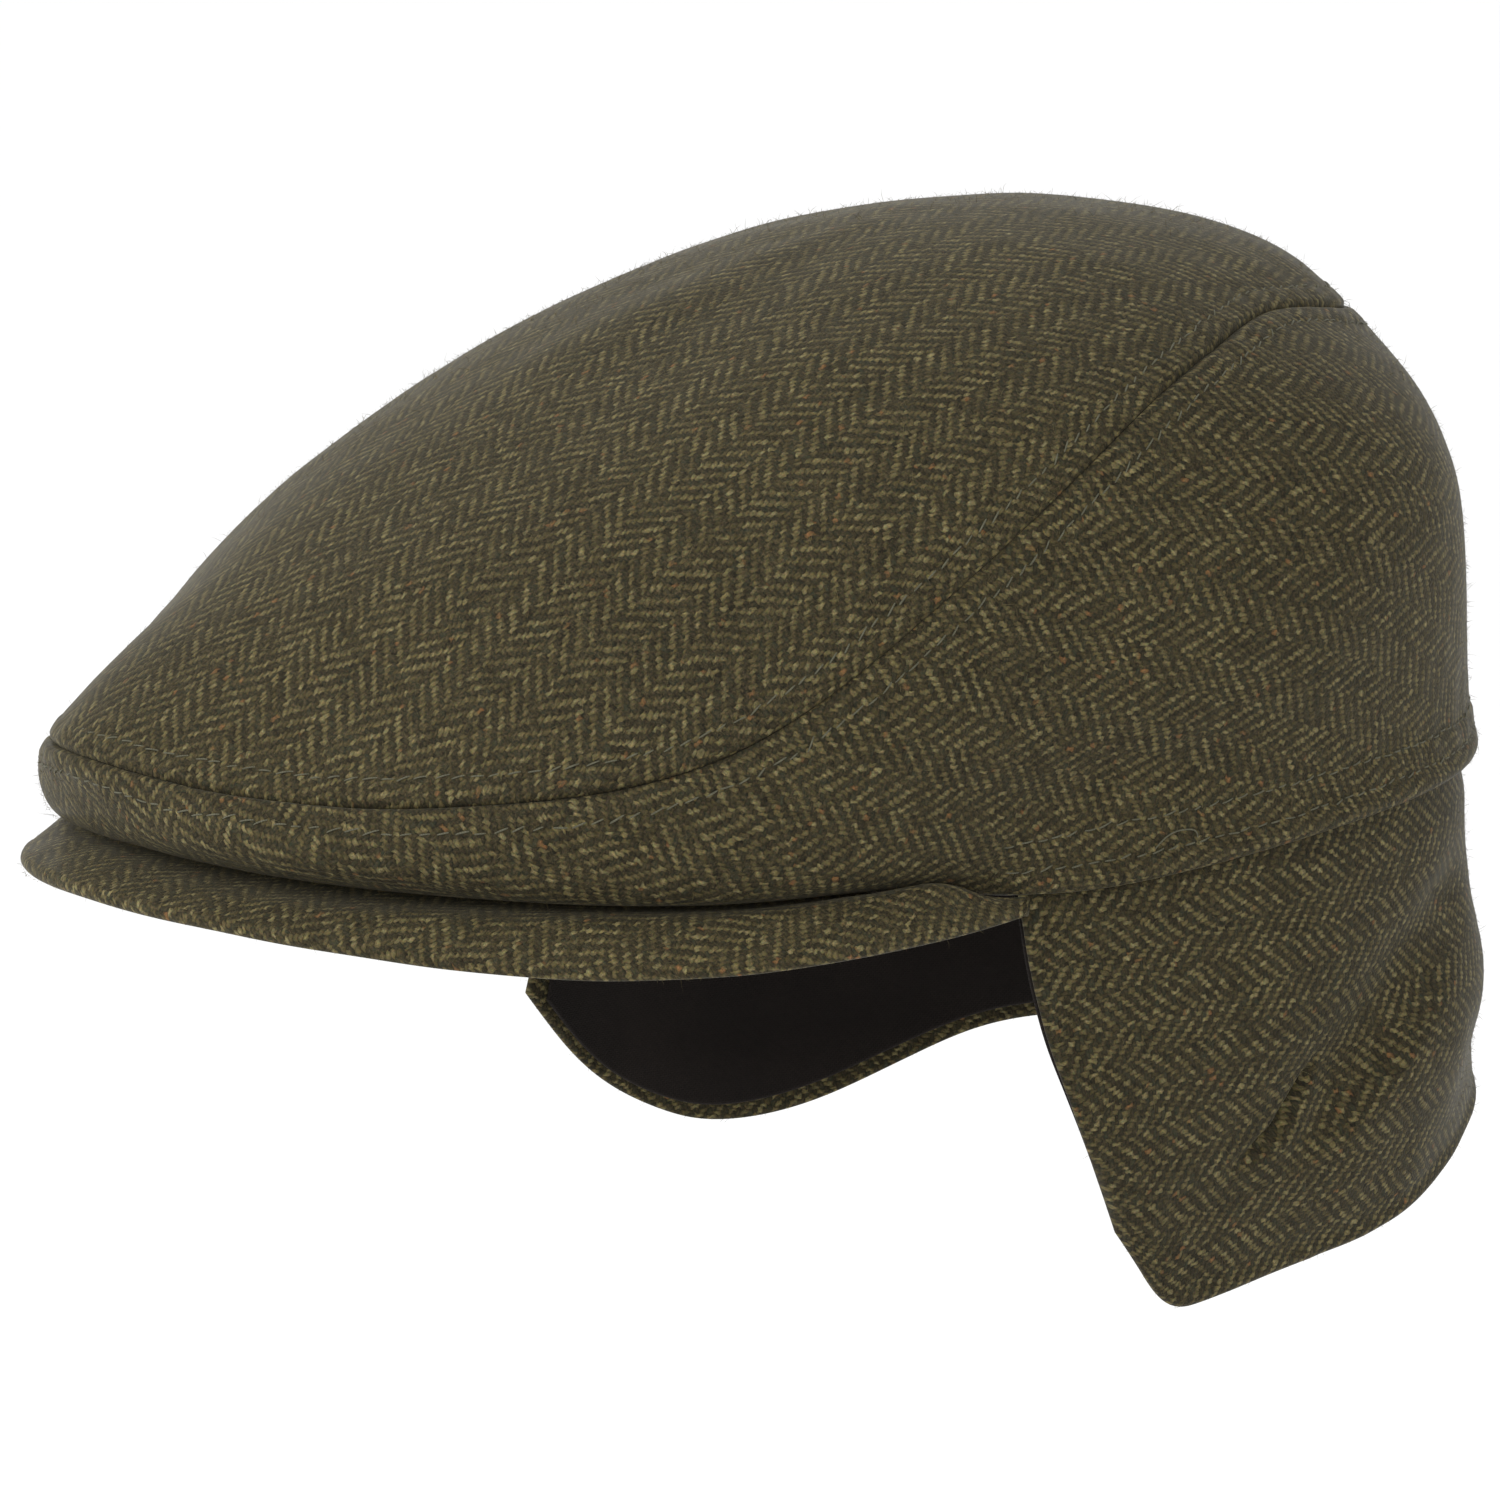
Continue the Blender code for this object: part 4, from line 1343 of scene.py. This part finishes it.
def peak_cloth(material):
    degrees = even_angles(251, -PEAK_CORNER, PEAK_CORNER, BELLY)
    across = 2 * np.linspace(0, 1, 41) ** 0.9
    top, _, up = peak_top(degrees, across)
    base, way, base_up = peak_top(degrees, across, False)
    at = degrees[:, None]
    low = base - PEAK_THICK * base_up
    fade = ease(np.broadcast_to(across, top.shape[:2]), 0.9, 1.5)
    rise = 0.22 * waves(top, 71, 34) + 0.08 * waves(top, 72, 12)
    ends = ease(PEAK_CORNER - np.abs(at), 0, 6)
    flat = PEAK_FLAT.at(at, across[None])
    top = top + up * (rise * fade * ends)[..., None]
    low = low + base_up * (0.18 * waves(low, 73, 30) * ends)[..., None]
    # Round the edge, a little fuller than a half circle
    swing = np.radians(np.arange(15, 180, 15))
    a, b = top[:, -1], low[:, -1]
    middle, half = (a + b) / 2, (a - b) / 2
    out = way[:, -1] * 1.32
    turn = [middle + half * math.cos(s) + out * math.sin(s) for s in swing]
    turn = np.stack(turn, 1)
    body = Body()
    tn, un, ln = body.add(top), body.add(turn), body.add(low)
    box_low = flat.reshape(-1, 2).min(0) - 4
    box_size = flat.reshape(-1, 2).max(0) + 4 - box_low
    half_square = np.array([0.976, 0.470])
    shown = lambda f: 0.012 + (f - box_low) / box_size * half_square
    under = lambda f: shown(f) + np.array([0.0, 0.5])
    line = np.concatenate([a[:, None], turn, b[:, None]], 1)
    run = lengths_up(line)[:, 1:]
    outward = unit(flat[:, -1] - flat[:, -2])
    wrap = flat[:, -1:] + outward[:, None] * run[..., None]
    grain = lambda f: turned_by(f, PEAK_GRAIN)
    body.grid(tn, grain(flat), shown(flat))
    numbers = np.concatenate([tn[:, -1:], un, ln[:, -1:]], axis=1)
    maps = np.concatenate([flat[:, -1:], wrap], axis=1)
    body.grid(numbers, grain(maps), shown(flat[:, -1:] + (maps - flat[:, -1:]) * 0.8))
    body.grid(ln, grain(flat) + np.array([3.3, 1.7]), under(flat), flip=True)
    root = np.stack([ln[:, 0], tn[:, 0]], 1)
    root_map = np.stack([flat[:, 0], flat[:, 0]], 1)
    root_bake = np.stack([shown(flat[:, 0]) - 0.004, shown(flat[:, 0])], 1)
    body.grid(root, root_map, root_bake)
    for i, flip in ((0, True), (len(degrees) - 1, False)):
        side = np.concatenate([tn[i], un[i]])
        faces = strip(side, ln[i])
        if flip:
            faces = faces[:, ::-1]
        spot = np.full((len(faces), 3, 2), 0.5)
        spot[..., 0] = [0.500, 0.504, 0.500]
        spot[..., 1] = [0.490, 0.490, 0.494]
        body.face(faces, np.zeros((len(faces), 3, 2)), spot)
    return body.mesh("peak_cloth", [material])



# The bend across the flap where it swings outward, and the sharp crease above it, as
# places on the flat flap: along it from its left front edge, and down from the rim.
BEND = [(196, 22), (187, 33), (176, 41), (164, 48), (153, 55), (142, 61.5), (129, 66), (112, 69)]
CREASE = [(140, 44), (136, 49), (131, 54.5), (126, 59), (119, 62), (110, 64)]
FLAP_LONG, FLAP_DEEP = 430.0, 90.0


def beside_line(line, x, y):
    """Signed distance from a line on the flat flap, positive below it, and share along it."""
    line = np.array([(a, b, 0.0) for a, b in line])
    points = np.stack([x, y, np.zeros_like(x)], -1)
    away, along = line_place(line, points)
    whole = np.linalg.norm(np.diff(line, axis=0), axis=1).sum()
    share = along / whole
    run = np.concatenate([[0], np.linalg.norm(np.diff(line, axis=0), axis=1).cumsum()])
    k = np.clip(np.searchsorted(run, along, side="right") - 1, 0, len(line) - 2)
    step = line[k + 1] - line[k]
    to = points - line[k]
    sign = np.sign(step[..., 0] * to[..., 1] - step[..., 1] * to[..., 0])
    return -away * sign, share


def flap_rise(points, across, down):
    """How far the flap's cloth stands off its smooth surface."""
    free = ease(down, 0.02, 0.30)
    x, y = across * FLAP_LONG, down * FLAP_DEEP
    rise = 0.75 * waves(points, 81, 48) + 0.18 * waves(points, 82, 17)
    side, share = beside_line(BEND, x, y)
    fade = ease(share, 0.0, 0.18) * (1 - ease(share, 0.62, 1.0))
    shelf = ease(side, -4.5, 3.5) * (1 - 0.7 * ease(side, 6.0, 40.0)) * ease(share, 0.08, 0.50)
    rise = rise + fade * (2.9 * shelf - 2.1 * hump(side, -10.0, 8.0))
    side, share = beside_line(CREASE, x, y)
    fade = ease(share, 0.0, 0.35) * (1 - ease(share, 0.55, 1.0))
    deep = np.where(side < 0, hump(side, 0, 1.4), hump(side, 0, 0.95))
    rise = rise + fade * (0.8 * hump(side, 3.2, 2.8) - 2.3 * deep)
    flare = hump(y, 51, 13) * hump(x, 185, 34)
    foot = ease(y, 58, 90) * (1 - ease(np.abs(x - 60), 60, 120))
    tuck = 1 - ease(y, 1.5, 11)
    return (rise + 2.0 * flare - 2.8 * foot) * free - 0.8 * tuck


def crowded(count, centre, width):
    """Shares from 0 to 1 that stand closer round one place."""
    t = np.linspace(0, 1, 2001)
    run = np.concatenate([[0], np.cumsum(1 + 1.8 * hump(t[1:] - 0.00025, centre, width))])
    return np.interp(np.linspace(0, run[-1], count), run, t)


def flap_points(side, foot, tuck, depth, thick, around, deep, round_edge):
    """The two faces of a layer of the flap, which meet in a rounded edge at its free sides."""
    along = crowded(around, 0.295, 0.045)
    fine = np.array([0, 0.0002, 0.0007, 0.0015, 0.0026, 0.004, 0.0055, 0.0075, 0.0098])
    along = np.unique(np.concatenate([fine, along[along > 0.0112], 1 - fine]))
    along = along[(along <= 1 - 0.0112) | (along >= 1 - 0.0099)]
    across = side + (1 - 2 * side) * along
    drop = crowded(deep, 0.60, 0.13)
    fine = 1 - np.array([0, 0.001, 0.0035, 0.0075, 0.013, 0.020, 0.028, 0.038, 0.050])
    drop = np.unique(np.concatenate([drop[drop < 0.943], fine]))
    down = np.concatenate([-tuck * np.array([1, 0.8, 0.6, 0.4, 0.2]), drop * (1 - foot)])
    face = flap_surface(across, down)
    out = flap_normals(across, down)
    a, b = np.meshgrid(across, down, indexing="ij")
    middle = face - out * (depth + thick / 2)
    # Distance from the free edges, along the cloth
    rim = np.concatenate([middle[0, 5:], middle[1:, -1], middle[-1, 5:-1][::-1]])
    away, _ = line_place(rim, middle)
    away[b < 0] = 9
    rise = flap_rise(face, a, b)
    if round_edge:
        rise = rise + 0.16 * hump(away, 1.6, 1.0) - 0.16 * hump(away, 4.2, 1.5)
    middle = middle + out * rise[..., None]
    middle[..., 2] -= 1.3 * hump(a * FLAP_LONG, 70, 26) * ease(b * FLAP_DEEP, 40, 90)
    radius = thick / 2
    t = np.clip(away / max(radius, 0.3), 0, 1)
    half = radius * np.sqrt(np.maximum(1 - (1 - t) ** 2, 0))
    half[b < 0] = radius
    half[:, 5:][0] = half[:, 5:][-1] = 0
    half[:, -1] = 0
    if round_edge:
        half = half * (1 + 0.18 * hump(away, 1.5, 1.2))
    return across, down, middle, out, half


def flap_layer(name, material, side, foot, tuck, depth, thick, around, deep, rows, shown_out):
    across, down, middle, out, half = flap_points(
        side, foot, tuck, depth, thick, around, deep, shown_out
    )
    front = middle + out * half[..., None]
    back = middle - out * half[..., None]
    body = Body()
    fn = body.add(front)
    bn = body.add(back)
    # The two faces share the points of the rounded edge
    bn[0, 5:], bn[-1, 5:], bn[:, -1] = fn[0, 5:], fn[-1, 5:], fn[:, -1]
    cloth = FLAP_FLAT.at(across[:, None], np.maximum(down, -0.8)[None])
    cloth = turned_by(cloth, FLAP_GRAIN)[..., ::-1]
    count = len(across)
    run = np.linalg.norm(np.diff(front, axis=1), axis=2).cumsum(1)
    run = np.concatenate([np.zeros((count, 1)), run / run[:, -1:]], axis=1)
    along = np.linalg.norm(np.diff(front[:, 20], axis=0), axis=1).cumsum()
    along = np.concatenate([[0], along / along[-1]])
    for r in range(rows):
        low, high = in_rows(count, rows, r)
        pick = slice(low, high)
        x = along[pick][:, None]
        x = 0.006 + 0.988 * (x - x[0]) / (x[-1] - x[0])
        base, tall = r / rows, 1 / rows
        big = base + tall * (0.06 + 0.92 * run[pick])
        small = base + tall * (0.005 + 0.04 * run[pick])
        bake = lambda y: np.stack(np.broadcast_arrays(x, y), -1)
        shown, hidden = (fn, bn) if shown_out else (bn, fn)
        body.grid(shown[pick], cloth[pick], bake(big), flip=not shown_out)
        body.grid(hidden[pick], cloth[pick], bake(small), flip=shown_out)
        lid = np.stack([bn[pick][:, 0], fn[pick][:, 0]], 1)
        lid_map = np.stack([cloth[pick][:, 0], cloth[pick][:, 0]], 1)
        y = base + tall * np.array([[0.046, 0.056]])
        body.grid(lid, lid_map, bake(y))
    for i, flip in ((0, False), (count - 1, True)):
        one, two = fn[i, :6], bn[i, :6]
        faces = np.stack([one[:-1], one[1:], two[1:], two[:-1]], 1)
        last = np.array([[one[-2], one[-1], two[-2]]])
        faces = faces[:-1]
        if flip:
            faces, last = faces[:, ::-1], last[:, ::-1]
        spot = np.array([[0.9965, 0.001], [0.999, 0.001], [0.999, 0.003], [0.9965, 0.003]])
        body.face(faces, np.zeros((len(faces), 4, 2)), np.tile(spot, (len(faces), 1, 1)))
        body.face(last, np.zeros((1, 3, 2)), spot[None, :3])
    return body.mesh(name, [material])


# ---------------------------------------------------------------- sewing


def surface_finder(*pieces):
    """A function that moves points onto the nearest cloth, with the way out of it."""
    points, faces, count = [], [], 0
    for piece in pieces:
        data = piece.data
        co = np.empty(len(data.vertices) * 3)
        data.vertices.foreach_get("co", co)
        points.append(co.reshape(-1, 3) / MM)
        faces += [[v + count for v in f.vertices] for f in data.polygons]
        count += len(data.vertices)
    tree = BVHTree.FromPolygons(np.concatenate(points).tolist(), faces)

    def find(p, out):
        """Where the cloth is met by a line through p along out, seen from outside."""
        start = Vector(p) + Vector(out) * 4
        hit, normal, _, _ = tree.ray_cast(start, -Vector(out), 9)
        if hit is None:
            hit, normal, _, _ = tree.find_nearest(Vector(p))
        return np.array(hit)

    return find


def tube(body, line, out, radii, turn_at=0.0, sides=6):
    """A thread along a line of points, closed at both ends."""
    line = np.asarray(line, float)
    ahead = unit(np.gradient(line, axis=0))
    side = unit(np.cross(ahead, out))
    up = np.cross(side, ahead)
    a = np.linspace(0, 2 * math.pi, sides, endpoint=False)
    ring = np.cos(a)[None, :, None] * side[:, None] + np.sin(a)[None, :, None] * up[:, None]
    points = line[:, None] + ring * np.asarray(radii)[:, None, None]
    numbers = body.add(points)
    run = np.linalg.norm(np.diff(line, axis=0), axis=1).cumsum()
    run = np.concatenate([[0], run]) + turn_at
    loop = np.concatenate([numbers, numbers[:, :1]], axis=1)
    around = np.arange(sides + 1) / sides
    cloth = np.stack(np.broadcast_arrays(run[:, None], around[None]), -1)
    share = (run - run[0]) / (run[-1] - run[0])
    cell = np.array(THREAD_CELLS.pop())
    bake = np.stack(np.broadcast_arrays(share[:, None] * 0.9, around[None] * 0.9), -1)
    bake = cell + (bake + 0.05) / THREAD_GRID
    body.grid(loop, cloth, bake)
    for k, flip in ((0, False), (-1, True)):
        cap = numbers[k][None]
        body.face(
            cap[:, ::-1] if flip else cap,
            np.tile(cloth[k, :sides], (1, 1, 1)),
            np.tile(bake[k, :sides] + np.array([0.0005, 0.0]) * (k == 0), (1, 1, 1)),
        )


THREAD_GRID = 40
THREAD_CELLS = [(i / THREAD_GRID, j / THREAD_GRID) for i in range(40) for j in range(40)]
STITCH, PITCH, THREAD = 2.45, 3.1, 0.155  # its length, one to the next, its radius


def stitch_row(body, find, line, out, seed, lean=13.0):
    """Stitches along a line of points with their ways outward."""
    random = np.random.default_rng(seed)
    run = np.linalg.norm(np.diff(line, axis=0), axis=1).cumsum()
    run = np.concatenate([[0], run])
    count = int(run[-1] / PITCH)
    read = lambda at, what: np.stack([np.interp(at, run, what[:, k]) for k in range(3)], -1)
    share = np.linspace(0, 1, 7)
    lift = np.sin(math.pi * share) ** 0.6
    for i in range(count):
        start = (i + 0.12) * PITCH + random.normal(0, 0.16)
        long = STITCH * (1 + random.normal(0, 0.10))
        at = start + long * share
        p, n = read(at, line), unit(read(at, out))
        ahead = unit(p[-1] - p[0])
        aside = unit(np.cross(n, ahead))
        tilt = math.tan(math.radians(lean + random.normal(0, 7)))
        p = p + aside * ((share - 0.5) * long * tilt + random.normal(0, 0.14))[:, None]
        on = np.array([find(a, b) for a, b in zip(p, n)])
        # A pulled thread is straighter than the cloth that it lies on
        chord = on[0] + (on[-1] - on[0]) * share[:, None]
        on = 0.55 * on + 0.45 * chord
        on = on + n * (random.normal(-0.20, 0.045) + 0.31 * lift)[:, None]
        radii = THREAD * (0.65 + 0.35 * lift) * (1 + random.normal(0, 0.06))
        tube(body, on, n, radii, turn_at=random.uniform(0, 5))


def seam_stitches(find, material):
    body = Body()
    degrees = ROUND[:-1]
    line, out = SEAM_LINE[:-1], OUT.at(degrees, SEAM)
    ahead = unit(np.roll(line, -1, 0) - np.roll(line, 1, 0))
    aside = unit(np.cross(out, ahead))
    for k, (shift, seed) in enumerate(((SEAM_ROW, 11), (-SEAM_ROW, 12))):
        moved = line + aside * shift
        # Places beside the seam, brought back onto the smooth surface
        moved = np.array([on_cap(p, a, SEAM) for p, a in zip(moved, degrees)])
        ways = OUT.at(moved[:, 3], moved[:, 4])
        stitch_row(body, find, closed(moved[:, :3]), closed(ways), seed)
    return body.mesh("seam_stitches", [material])


def closed(line):
    return np.concatenate([line, line[:1]])


def on_cap(p, degrees, step):
    """The smooth surface's nearest point to p, with its angle and step."""
    a, s = degrees, step
    for _ in range(4):
        here = FACE.at(wrapped(a), s)
        da, ds = 0.4, 0.01
        to_a = (FACE.at(wrapped(a + da), s) - FACE.at(wrapped(a - da), s)) / (2 * da)
        to_s = (FACE.at(wrapped(a), s + ds) - FACE.at(wrapped(a), s - ds)) / (2 * ds)
        both = np.stack([to_a, to_s], 1)
        change, *_ = np.linalg.lstsq(both, p - here, rcond=None)
        a, s = a + change[0], s + change[1]
    a = float(wrapped(a))
    return np.concatenate([FACE.at(a, s), [a, s]])


def hem_stitches(find, material):
    body = Body()
    d = wrapped(HEM_ROUND)
    for row, seed in ((0, 21), (1, 22)):
        s = LOWER_ROW / hem_height(d) if row == 0 else np.full(len(d), UPPER_ROW_STEP)
        line, out = FACE.at(d, s), OUT.at(d, s)
        stitch_row(body, find, line, out, seed, lean=7.0)
    # A loose end of thread that stands off the lower row near the left ear
    knots = np.array([[88.2, 0.47], [89.6, 0.66], [91.6, 0.72], [93.4, 0.66], [94.0, 0.52]])
    fine = spline(np.arange(5), knots, np.linspace(0, 4, 21))
    rise = 0.15 + 0.75 * np.sin(np.linspace(0, math.pi, 21))
    out = OUT.at(fine[:, 0], fine[:, 1])
    on = np.array([find(p, n) for p, n in zip(FACE.at(fine[:, 0], fine[:, 1]), out)])
    tube(body, on + out * rise[:, None], out, np.full(21, 0.13))
    return body.mesh("hem_stitches", [material])


# ---------------------------------------------------------------- loose fibres

def hairs(body, lines, radius, first, grid):
    """Wool fibres along rows of points, three-sided and drawn to a point. Each has its own
    cell of a square grid in the maps."""
    count, rings = lines.shape[0], lines.shape[1] - 1
    ahead = unit(lines[:, -1] - lines[:, 0])
    side = unit(np.cross(ahead, [0.31, 0.52, 0.79]))
    up = np.cross(ahead, side)
    a = np.radians([90, 210, 330])
    ring = np.cos(a)[None, :, None] * side[:, None] + np.sin(a)[None, :, None] * up[:, None]
    thin = np.array([1.0, 0.75])[:rings]
    wide = radius[:, None, None, None] * thin[None, :, None, None]
    round_it = body.add(lines[:, :-1, None] + ring[:, None] * wide)
    tip = body.add(lines[:, -1])
    number = first + np.arange(count)
    cell = np.stack([number % grid, number // grid], -1)[:, None]

    def add(corners, spots):
        cloth = cell + np.array(spots)[None]
        body.face(np.stack(corners, -1), cloth, cloth / grid)

    wedge = [(0.2, 0.2), (0.8, 0.2), (0.5, 0.8)]
    square = [(0.2, 0.2), (0.8, 0.2), (0.8, 0.8), (0.2, 0.8)]
    for k in range(3):
        j = (k + 1) % 3
        add([round_it[:, -1, k], round_it[:, -1, j], tip], wedge)
        if rings == 2:
            low, high = round_it[:, 0], round_it[:, 1]
            add([low[:, k], low[:, j], high[:, j], high[:, k]], square)
    add([round_it[:, 0, 0], round_it[:, 0, 2], round_it[:, 0, 1]], wedge)


def fuzz(name, material, pieces, short, curved, seed, extra=()):
    """Fibres that stand off the outer faces of some pieces: short straight ones and longer,
    curved ones."""
    random = np.random.default_rng(seed)
    body = Body()
    corners = []
    for piece, side in pieces:
        data = piece.data
        data.calc_loop_triangles()
        co = np.empty(len(data.vertices) * 3)
        data.vertices.foreach_get("co", co)
        index = np.empty(len(data.loop_triangles) * 3, np.int32)
        data.loop_triangles.foreach_get("vertices", index)
        p = co.reshape(-1, 3)[index.reshape(-1, 3)] / MM
        corners.append(p[side(p.mean(1), unit(np.cross(p[:, 1] - p[:, 0], p[:, 2] - p[:, 0])))])
    p = np.concatenate(corners)
    cross = np.cross(p[:, 1] - p[:, 0], p[:, 2] - p[:, 0])
    area = np.linalg.norm(cross, axis=1)
    grid = math.ceil(math.sqrt(short + curved + len(extra)))
    for count, first, steps in ((short, 0, [0, 1]), (curved, short, [0, 0.5, 1])):
        pick = random.choice(len(p), count, p=area / area.sum())
        share = random.uniform(0, 1, (count, 2))
        over = share.sum(1) > 1
        share[over] = 1 - share[over]
        a, b, c = p[pick, 0], p[pick, 1], p[pick, 2]
        root = a + (b - a) * share[:, :1] + (c - a) * share[:, 1:]
        out = unit(cross[pick])
        lean = unit(random.normal(size=(count, 3)))
        lean = unit(lean - out * (lean * out).sum(1, keepdims=True))
        bend = unit(random.normal(size=(count, 3)))
        if count == short:
            long = random.gamma(4.0, 0.16, count).clip(0.3, 1.5)
        else:
            long = random.gamma(3.0, 0.42, count).clip(0.6, 3.6)
        steep = random.beta(1.7, 1.8, count) * math.radians(85)
        wide = random.uniform(0.020, 0.042, count)
        t = np.array(steps)[None, :, None]
        level, stand = np.cos(steep)[:, None, None], np.sin(steep)[:, None, None]
        path = lean[:, None] * t * level + out[:, None] * t * stand * (1 - 0.30 * t)
        path = (path + bend[:, None] * 0.28 * t**2) * long[:, None, None]
        hairs(body, (root - out * 0.10)[:, None] + path, wide, first, grid)
    for k, (line, radius) in enumerate(extra):
        hairs(body, np.array([line], float), np.array([radius]), short + curved + k, grid)
    return body.mesh(name, [material])


# ---------------------------------------------------------------- the whole cap

# The third value is painted light: the peak's tweed is painted lighter against the shade under the
# overhang, and the flap's is painted darker as shade. Top and band are unchanged.
TOP_TWEED = tweed("top_tweed", (0.0, 0.0), 1.0, 1.2)
BAND_TWEED = tweed("band_tweed", (3.0, 1.0))
PEAK_TWEED = tweed("peak_tweed", (5.0, 2.0), 1.18)
FLAP_TWEED = tweed("flap_tweed", (1.0, 3.0), 0.94, 0.75)
LINING_CLOTH = plain_lining("dark_lining")
THREAD_MATERIAL = sewing_thread("grey_green_thread")
FIBRE_MATERIAL = wool_fibre("loose_wool")

crown = crown_cloth(TOP_TWEED)
band = band_cloth(BAND_TWEED)
lining = cap_lining(LINING_CLOTH)
peak = peak_cloth(PEAK_TWEED)
flap = flap_layer(
    "ear_flap_cloth", FLAP_TWEED, 0, 0, FLAP_TUCK, 0, WALL, 350, 90, 2, True
)
flap_lining = flap_layer(
    "ear_flap_inside",
    LINING_CLOTH,
    LINING_SIDE,
    LINING_FOOT,
    0.9 * FLAP_TUCK,
    WALL + 2 * GAP,
    LINING,
    220,
    50,
    2,
    False,
)
find = surface_finder(crown, band)
top_sewing = seam_stitches(find, THREAD_MATERIAL)
hem_sewing = hem_stitches(find, THREAD_MATERIAL)



def outward(centre):
    """Faces turned away from a place inside the cap."""
    return lambda at, out: ((at - np.array(centre)) * out).sum(1) > 0


above = lambda at, out: out[:, 2] > -0.75
top_fuzz = fuzz(
    "crown_fibres", FIBRE_MATERIAL, [(crown, outward((0, -25, 10)))], 20000, 7000, 91
)
side_fuzz = fuzz(
    "band_fibres", FIBRE_MATERIAL, [(band, outward((0, -25, 30)))], 20000, 7000, 92
)
low_fuzz = fuzz(
    "flap_fibres", FIBRE_MATERIAL, [(flap, outward((0, 10, -40)))], 15000, 4500, 93
)
hanging = [[58.1, -107.0, -8.3], [58.9, -108.3, -11.2], [57.6, -108.2, -14.6]]
brim_fuzz = fuzz(
    "peak_fibres", FIBRE_MATERIAL, [(peak, above)], 8000, 2500, 94, [(hanging, 0.05)]
)

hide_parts("crown_top")
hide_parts("side_band")
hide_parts("peak")
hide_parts("ear_flap")
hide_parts("ear_flap_lining")


def metres(size):
    return (float(size[0]) * MM, float(size[1]) * MM)


both = size_of(BAND_FLAT) + np.array([size_of(CROWN_FLAT)[0], 0.0])
square = MM * MM
metres(size_of(CROWN_FLAT))
metres(size_of(BAND_FLAT))
BAND_AREA * square
(CROWN_AREA + BAND_AREA) * square
metres(size_of(PEAK_FLAT))
PEAK_AREA * square
metres(size_of(FLAP_FLAT))
FLAP_AREA * square
metres(size_of(FLAP_FLAT))
FLAP_AREA * square


# ---------------------------------------------------------------- floor, light and camera


def stage():
    half, low = 16.0, -0.90
    data = bpy.data.meshes.new("floor")
    corners = [(-half, -half, low), (half, -half, low), (half, half, low), (-half, half, low)]
    data.from_pydata(corners, [], [(0, 1, 2, 3)])
    floor = bpy.data.objects.new("floor", data)
    bpy.context.scene.collection.objects.link(floor)
    material, shader = shader_for("pale_floor")
    shader.inputs["Base Color"].default_value = (0.96, 0.96, 0.96, 1)
    shader.inputs["Roughness"].default_value = 0.9
    shader.inputs["Specular IOR Level"].default_value = 0.1
    data.materials.append(material)


def lamp(name, at, size, power_of, aim=(0, -0.02, 0.0), colour=(1, 1, 1)):
    light = bpy.data.lights.new(name, "AREA")
    light.shape = "RECTANGLE"
    light.size, light.size_y = size
    light.energy = power_of
    light.color = colour
    holder = bpy.data.objects.new(name, light)
    bpy.context.scene.collection.objects.link(holder)
    holder.location = at
    holder.rotation_mode = "QUATERNION"
    holder.rotation_quaternion = (Vector(aim) - Vector(at)).to_track_quat("-Z", "Y")


def camera():
    """The photograph's view: 61 degrees round to the wearer's left, from 11 degrees above."""
    a, e, away, aside, above = math.radians(61.46), math.radians(11.37), 1249.6, -30.02, 3.96
    back = Vector((math.sin(a) * math.cos(e), -math.cos(a) * math.cos(e), math.sin(e)))
    right = Vector((math.cos(a), math.sin(a), 0))
    up = back.cross(right)
    data = bpy.data.cameras.new("camera")
    data.sensor_width = 36.0
    data.lens = 5.6595 * away * 36.0 / 1500
    data.clip_start, data.clip_end = 0.05, 60
    holder = bpy.data.objects.new("camera", data)
    bpy.context.scene.collection.objects.link(holder)
    turn = Matrix((right, up, back)).transposed()
    holder.matrix_world = Matrix.Translation(
        (back * away + right * aside + up * above) * MM
    ) @ turn.to_4x4()
    bpy.context.scene.camera = holder


def light():
    world = bpy.data.worlds.new("studio")
    bpy.context.scene.world = world
    world.use_nodes = True
    world.node_tree.nodes["Background"].inputs[0].default_value = (1, 1, 1, 1)
    world.node_tree.nodes["Background"].inputs[1].default_value = 1.05
    lamp("soft_key", (1.8, -1.3, 0.95), (1.4, 1.4), 30)
    lamp("soft_front", (-0.7, -2.0, 0.95), (1.2, 1.2), 37)
    lamp("soft_back", (1.3, 1.5, 1.5), (1.2, 1.2), 5)


stage()
light()
camera()
bpy.context.scene.view_settings.view_transform = "Standard"
